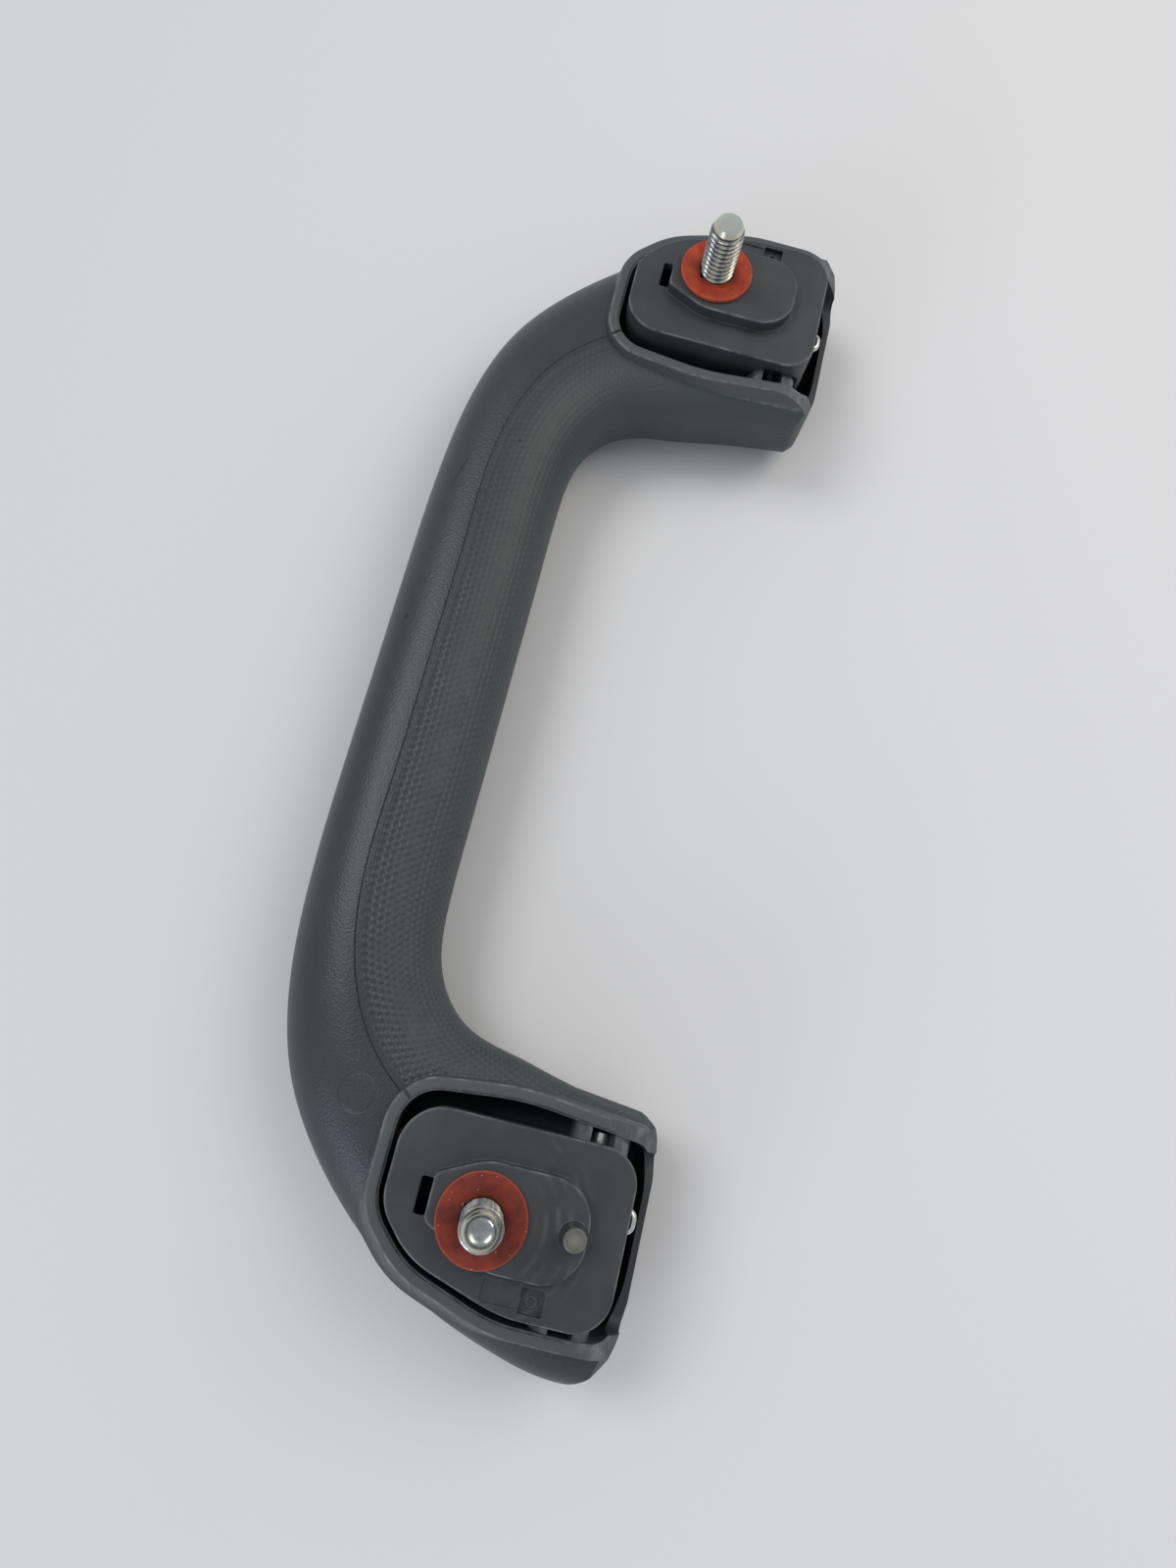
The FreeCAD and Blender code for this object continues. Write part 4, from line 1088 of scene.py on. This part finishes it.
def roll_cutter(materials):
    """What the rounded ends take away at both ends."""
    low_x, high_x = BOLT_X - TAIL_ROLL_ROOM, BOLT_X + TAIL_ROLL_ROOM
    low_y, high_y = -CUP_TAIL - 8 * OVERSHOOT, -CUP_TAIL + TAIL_ROLL_LENGTH
    plan = np.array(((low_x, low_y), (high_x, low_y), (high_x, high_y), (low_x, high_y)))
    room = [at_height(plan, z) for z in (FRONT_FACE - 3 * OVERSHOOT, RIM_TOP + OVERSHOOT)]
    rolls = solid(*both_ends(roll_form()))
    return combine(solid(*both_ends(room)), [("DIFFERENCE", rolls, 0)], materials)


def corner_form():
    """What the rounded fall of a cup's corner, between outer side and tail, takes away."""
    turns = np.linspace(0, math.pi / 2, 25)
    middle = np.array((CORNER_REACH - CORNER_FALL, RIM_TOP - CORNER_FALL))
    fall = middle + CORNER_FALL * np.column_stack((np.sin(turns), np.cos(turns)))
    high = RIM_TOP + OVERSHOOT
    past = CORNER_REACH + 5 * OVERSHOOT
    outline = np.vstack(((fall[0, 0], high), fall, (past, fall[-1, 1]), (past, high)))
    outward = np.array((math.sin(CORNER_TURN), -math.cos(CORNER_TURN)))
    along = np.array((math.cos(CORNER_TURN), math.sin(CORNER_TURN)))
    rings = []
    for reach in (-CORNER_HALF_LENGTH, CORNER_HALF_LENGTH):
        plan = np.array((BOLT_X, 0)) + outline[:, :1] * outward + reach * along
        rings.append(np.column_stack((plan, outline[:, 1])))
    return rings


def saddle_form(wall_u, face_u):
    """Round boss with a snap-in seat for the pin, open at the top."""
    low, high = sorted((wall_u, face_u))
    mouth_turn = math.asin(SEAT_MOUTH / SEAT_RADIUS)
    lead_turn = math.asin((SEAT_MOUTH + SEAT_LEAD_IN) / SADDLE_RADIUS)
    outer = np.linspace(math.pi / 2 - lead_turn, -1.5 * math.pi + lead_turn, 49)
    inner = np.linspace(-1.5 * math.pi + mouth_turn, math.pi / 2 - mouth_turn, 33)
    arcs = ((outer, SADDLE_RADIUS), (inner, SEAT_RADIUS))
    outline = np.vstack([np.column_stack((np.cos(t), np.sin(t))) * radius for t, radius in arcs])
    outline += (PIN_Y, PIN_Z)
    return [crosswise(outline, BOLT_X + low), crosswise(outline, BOLT_X + high)]


def rib_form(middle):
    """Rib on the nose wall that the closed bracket comes down to."""
    sides = (middle - REST_RIB_WIDTH / 2, middle + REST_RIB_WIDTH / 2)
    face = CAVITY_NOSE - REST_RIB_REACH
    corners = trough(*sides, face, CAVITY_NOSE + OVERSHOOT, REST_RIB_CORNER)
    outline = rounded(corners, arc_step=30.0)
    return [at_bolt(outline, z) for z in (CUP_FLOOR - SINK, REST_RIB_TOP)]


def plan_form():
    """Room that the whole moulding may fill in plan."""
    right = [(BOLT_X + u, v, radius) for u, v, radius in HALF_PLAN]
    left = [(-x, v, radius) for x, v, radius in reversed(right)]
    outline = rounded(right + left)
    return [at_height(outline, z) for z in (FRONT_FACE - 2 * OVERSHOOT, RIM_TOP + 2 * OVERSHOOT)]


class GRAB_HANDLE_OT_grip(bpy.types.Operator):
    """Mould the grip: skin, rims, cups, pin saddles and rest ribs"""

    bl_idname = "grab_handle.grip"
    bl_label = "Grip"

    def execute(self, context):
        chosen = context.scene.grab_handle.grip
        border = chosen.border_width / MM
        groove_half = chosen.groove_width / 2 / MM
        sizes = {
            "near": (groove_half, BORDER_COLUMN, border, border + FIELD_STEP),
            "groove_half": groove_half,
            "groove_depth": chosen.groove_depth / MM,
            "border": border,
            "field_sink": chosen.field_sink / MM,
            "finger_columns": chosen.finger_columns,
            "outer_columns": chosen.outer_columns,
            "station_step": chosen.station_step / MM,
        }
        materials = [moulded_grained(), moulded_plain()]
        finger_wall = -CAVITY_FINGER_SIDE + CAVITY_DRAFT_AT_PIN
        outer_wall = CAVITY_OUTER_SIDE
        saddles = both_ends(saddle_form(finger_wall - SADDLE_ROOT, finger_wall + SADDLE_REACH))
        saddles += both_ends(saddle_form(outer_wall + SADDLE_ROOT, outer_wall - SADDLE_REACH))
        ribs = [form for middle in REST_RIB_MIDDLES for form in both_ends(rib_form(middle))]
        side = rounded(SIDE_LIMIT, arc_step=3.0)
        steps = [
            ("UNION", solid(*both_ends(rim_form())), 1),
            ("INTERSECT", solid(plan_form()), 0),
            ("INTERSECT", solid([crosswise(side, -FAR), crosswise(side, FAR)]), 1),
            ("DIFFERENCE", solid(*both_ends(corner_form())), 1),
            ("DIFFERENCE", roll_cutter(materials), 0),
            ("DIFFERENCE", solid(*both_ends(cavity_form())), 1),
            ("DIFFERENCE", solid(*both_ends(opening_form())), 1),
            ("DIFFERENCE", solid(*both_ends(notch_form())), 1),
            ("UNION", solid(*ribs), 1),
            ("UNION", solid(*saddles), 1),
        ]
        mesh = combine(skin_mesh(sizes), steps, materials)
        smooth(mesh, GRIP_SMOOTHING)
        grip = new_object("grip_moulding", mesh)
        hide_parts("grip")
        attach(grip, "grip")
        return {"FINISHED"}


def thread_rings(pitch, depth, dish_depth):
    """Rings of the shank, its thread and its dished tip, from the seat upward."""
    turns, circle = spokes(THREAD_COLUMNS)
    core = SCREW_RADIUS - depth
    shank = [(SHANK_RADIUS, SCREW_SEAT - SINK), (SHANK_RADIUS, PAD_TOP)]
    rings = lathe(shank, THREAD_COLUMNS)
    for z in np.arange(PAD_TOP, SCREW_TIP, pitch / THREAD_ROWS):
        # Sharp flanks, with a small flat on the crest and a rounded root
        turn = (z / pitch - turns / (2 * math.pi)) % 1.0
        crest = 1 - np.clip((np.abs(turn - 0.5) - CREST_SHARE) / FLANK_SHARE, 0, 1)
        run_in = np.clip((z - PAD_TOP) / (RUN_IN_TURNS * pitch), 0, 1)
        along = max(0.0, z - (SCREW_TIP - TIP_TAPER)) / TIP_TAPER
        taper = SCREW_RADIUS - (SCREW_RADIUS - TIP_RADIUS) * along
        r = np.minimum(core + depth * crest * run_in, taper)
        r = np.maximum(r, min(core, taper))
        rings.append(at_bolt(r[:, None] * circle, z))
    dish = [(share * TIP_RADIUS, SCREW_TIP - hollow * dish_depth) for hollow, share in TIP_DISH]
    return rings + lathe(dish, THREAD_COLUMNS)


def hexagon(across_flats, z):
    """Ring of a hexagon on the bolt axis."""
    _, circle = spokes(6)
    return at_bolt(across_flats / math.sqrt(3) * circle, z)


def head_mesh(materials):
    """Flange and hexagon head with its socket."""
    bottom = SCREW_SEAT - HEAD_HEIGHT
    flange_bottom = SCREW_SEAT - FLANGE_THICKNESS
    flange = [
        (FLANGE_RADIUS - CHAMFER, flange_bottom),
        (FLANGE_RADIUS, flange_bottom + CHAMFER),
        (FLANGE_RADIUS, SCREW_SEAT - EDGE_BREAK),
        (FLANGE_RADIUS - EDGE_BREAK, SCREW_SEAT),
    ]
    # Cone that turns the corners off the hexagon's end
    cone = [(HEX_ACROSS_FLATS / 2 - 0.1, bottom), (6.0, bottom + 1.0), (6.2, SCREW_SEAT)]
    body = [hexagon(HEX_ACROSS_FLATS, z) for z in (bottom, flange_bottom + 0.8)]
    socket = [hexagon(SOCKET_ACROSS_FLATS, z) for z in (bottom - 0.5, bottom + SOCKET_DEPTH)]
    steps = [
        ("INTERSECT", solid(lathe(cone)), 0),
        ("UNION", solid(lathe(flange)), 0),
        ("DIFFERENCE", solid(socket), 0),
    ]
    return combine(solid(body), steps, materials)


class GRAB_HANDLE_OT_screws(bpy.types.Operator):
    """Make the two flanged screws with their rolled threads"""

    bl_idname = "grab_handle.screws"
    bl_label = "Mounting screws"

    def execute(self, context):
        chosen = context.scene.grab_handle.fasteners
        finish = [zinc_on_thread(), zinc_on_tip()]
        for name, side in SIDES:
            dish = (chosen.dish_right if side > 0 else chosen.dish_left) / MM
            rings = thread_rings(chosen.thread_pitch / MM, chosen.thread_depth / MM, dish)
            mesh = combine(solid(rings), [("UNION", head_mesh(finish), 0)], finish)
            for face in mesh.polygons:
                sheared = face.center.z > (SCREW_TIP - SHEARED_DEPTH) * MM and face.normal.z > 0.9
                if side > 0 and sheared:
                    face.material_index = 1
            to_own_end(mesh, side)
            smooth(mesh, SCREW_SMOOTHING)
            screw = new_object(f"mounting_screw_dressed_{name}", mesh)
            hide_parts(f"mounting_screw_{name}")
            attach(screw, f"bracket_{name}")
        return {"FINISHED"}


def washer_mesh(side, bore_radius, notch_depth):
    """Punched fibre ring: slightly uneven edge, rolled rim and torn notches at the bore."""
    phases = np.random.default_rng(WASHER_SEEDS[side]).uniform(0, 2 * math.pi, len(WASHER_WAVES))

    def edge(inset):
        def radius(turns):
            wave = sum(np.sin(k * turns + phase) / k for k, phase in zip(WASHER_WAVES, phases))
            return WASHER_RADIUS - inset - WASHER_WOBBLE * (1 + wave / 2)

        return radius

    def bore(widening):
        def radius(turns):
            grow = np.zeros_like(turns)
            for notch in WASHER_NOTCHES[side]:
                away = np.abs((turns - notch + math.pi) % (2 * math.pi) - math.pi)
                share = np.clip(1.4 - away / WASHER_NOTCH_HALF_TURN, 0, 1)
                grow = np.maximum(grow, notch_depth * share)
            return bore_radius + widening + grow

        return radius

    top = 0.0
    profile = [
        (edge(0.12), PAD_TOP),
        (edge(0.0), PAD_TOP + 0.15),
        (edge(0.0), top - 0.2),
        (edge(0.08), top - 0.06),
        (edge(0.25), top),
        (bore(0.2), top),
        (bore(0.05), top - 0.08),
        (bore(0.0), top - 0.25),
        (bore(0.0), PAD_TOP),
    ]
    mesh = solid(lathe(profile, 144), ringed=True)
    to_own_end(mesh, side)
    return mesh


class GRAB_HANDLE_OT_washers(bpy.types.Operator):
    """Punch the two fibre washers"""

    bl_idname = "grab_handle.washers"
    bl_label = "Retaining washers"

    def execute(self, context):
        chosen = context.scene.grab_handle.fasteners
        for name, side in SIDES:
            finish = vulcanised_fibre(f"fibre_vulcanised_punched_{name}", *WASHER_TONES_WITH_PAINTED_SHADE[side])
            mesh = washer_mesh(side, chosen.washer_bore / MM, chosen.notch_depth / MM)
            smooth(mesh, WASHER_SMOOTHING)
            washer = new_object(f"retaining_washer_dressed_{name}", mesh, finish)
            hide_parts(f"retaining_washer_{name}")
            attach(washer, f"bracket_{name}")
        return {"FINISHED"}


class GRAB_HANDLE_OT_brackets(bpy.types.Operator):
    """Give the hinge brackets, pins, springs, bushes and covers their finishes"""

    bl_idname = "grab_handle.brackets"
    bl_label = "Brackets and hinge parts"

    def execute(self, context):
        finishes = {
            "bracket": bracket_nylon(),
            "screw_cover": cover_plastic(),
            "hinge_pin": steel("steel_drawn_bright", "#D2D2CE", 0.22, 0.4),
            "return_spring": steel("spring_wire_drawn", "#D0CEC8", 0.2, 0.5),
            "compression_bush": steel("steel_zinc_plated", "#C9CBC8", 0.3, 0.6),
        }
        for name, cad_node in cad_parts.items():
            kind = name.removesuffix("_right").removesuffix("_left")
            if kind not in DRESSED:
                cad_node.data.materials.clear()
                cad_node.data.materials.append(finishes[kind])
        return {"FINISHED"}


class GRAB_HANDLE_PT_panel(bpy.types.Panel):
    """Grab handle pieces"""

    bl_idname = "GRAB_HANDLE_PT_panel"
    bl_label = "Grab Handle"
    bl_space_type = "VIEW_3D"
    bl_region_type = "UI"
    bl_category = "Grab Handle"

    def draw(self, context):
        for operator in OPERATORS:
            self.layout.operator(operator.bl_idname)


OPERATORS = (
    GRAB_HANDLE_OT_stage,
    GRAB_HANDLE_OT_grip,
    GRAB_HANDLE_OT_screws,
    GRAB_HANDLE_OT_washers,
    GRAB_HANDLE_OT_brackets,
)
SETTINGS = (StageSettings, GripSettings, FastenerSettings, HandleSettings)
CLASSES = (*SETTINGS, *OPERATORS, GRAB_HANDLE_PT_panel)


def register():
    """Adds the add-on's classes and settings."""
    for item in CLASSES:
        bpy.utils.register_class(item)
    bpy.types.Scene.grab_handle = bpy.props.PointerProperty(type=HandleSettings)


def unregister():
    """Removes the add-on's classes and settings."""
    del bpy.types.Scene.grab_handle
    for item in reversed(CLASSES):
        bpy.utils.unregister_class(item)


def main():
    """Builds everything in order."""
    register()
    bpy.ops.grab_handle.stage()
    bpy.ops.grab_handle.grip()
    bpy.ops.grab_handle.screws()
    bpy.ops.grab_handle.washers()
    bpy.ops.grab_handle.brackets()


if __name__ == "__main__":
    main()
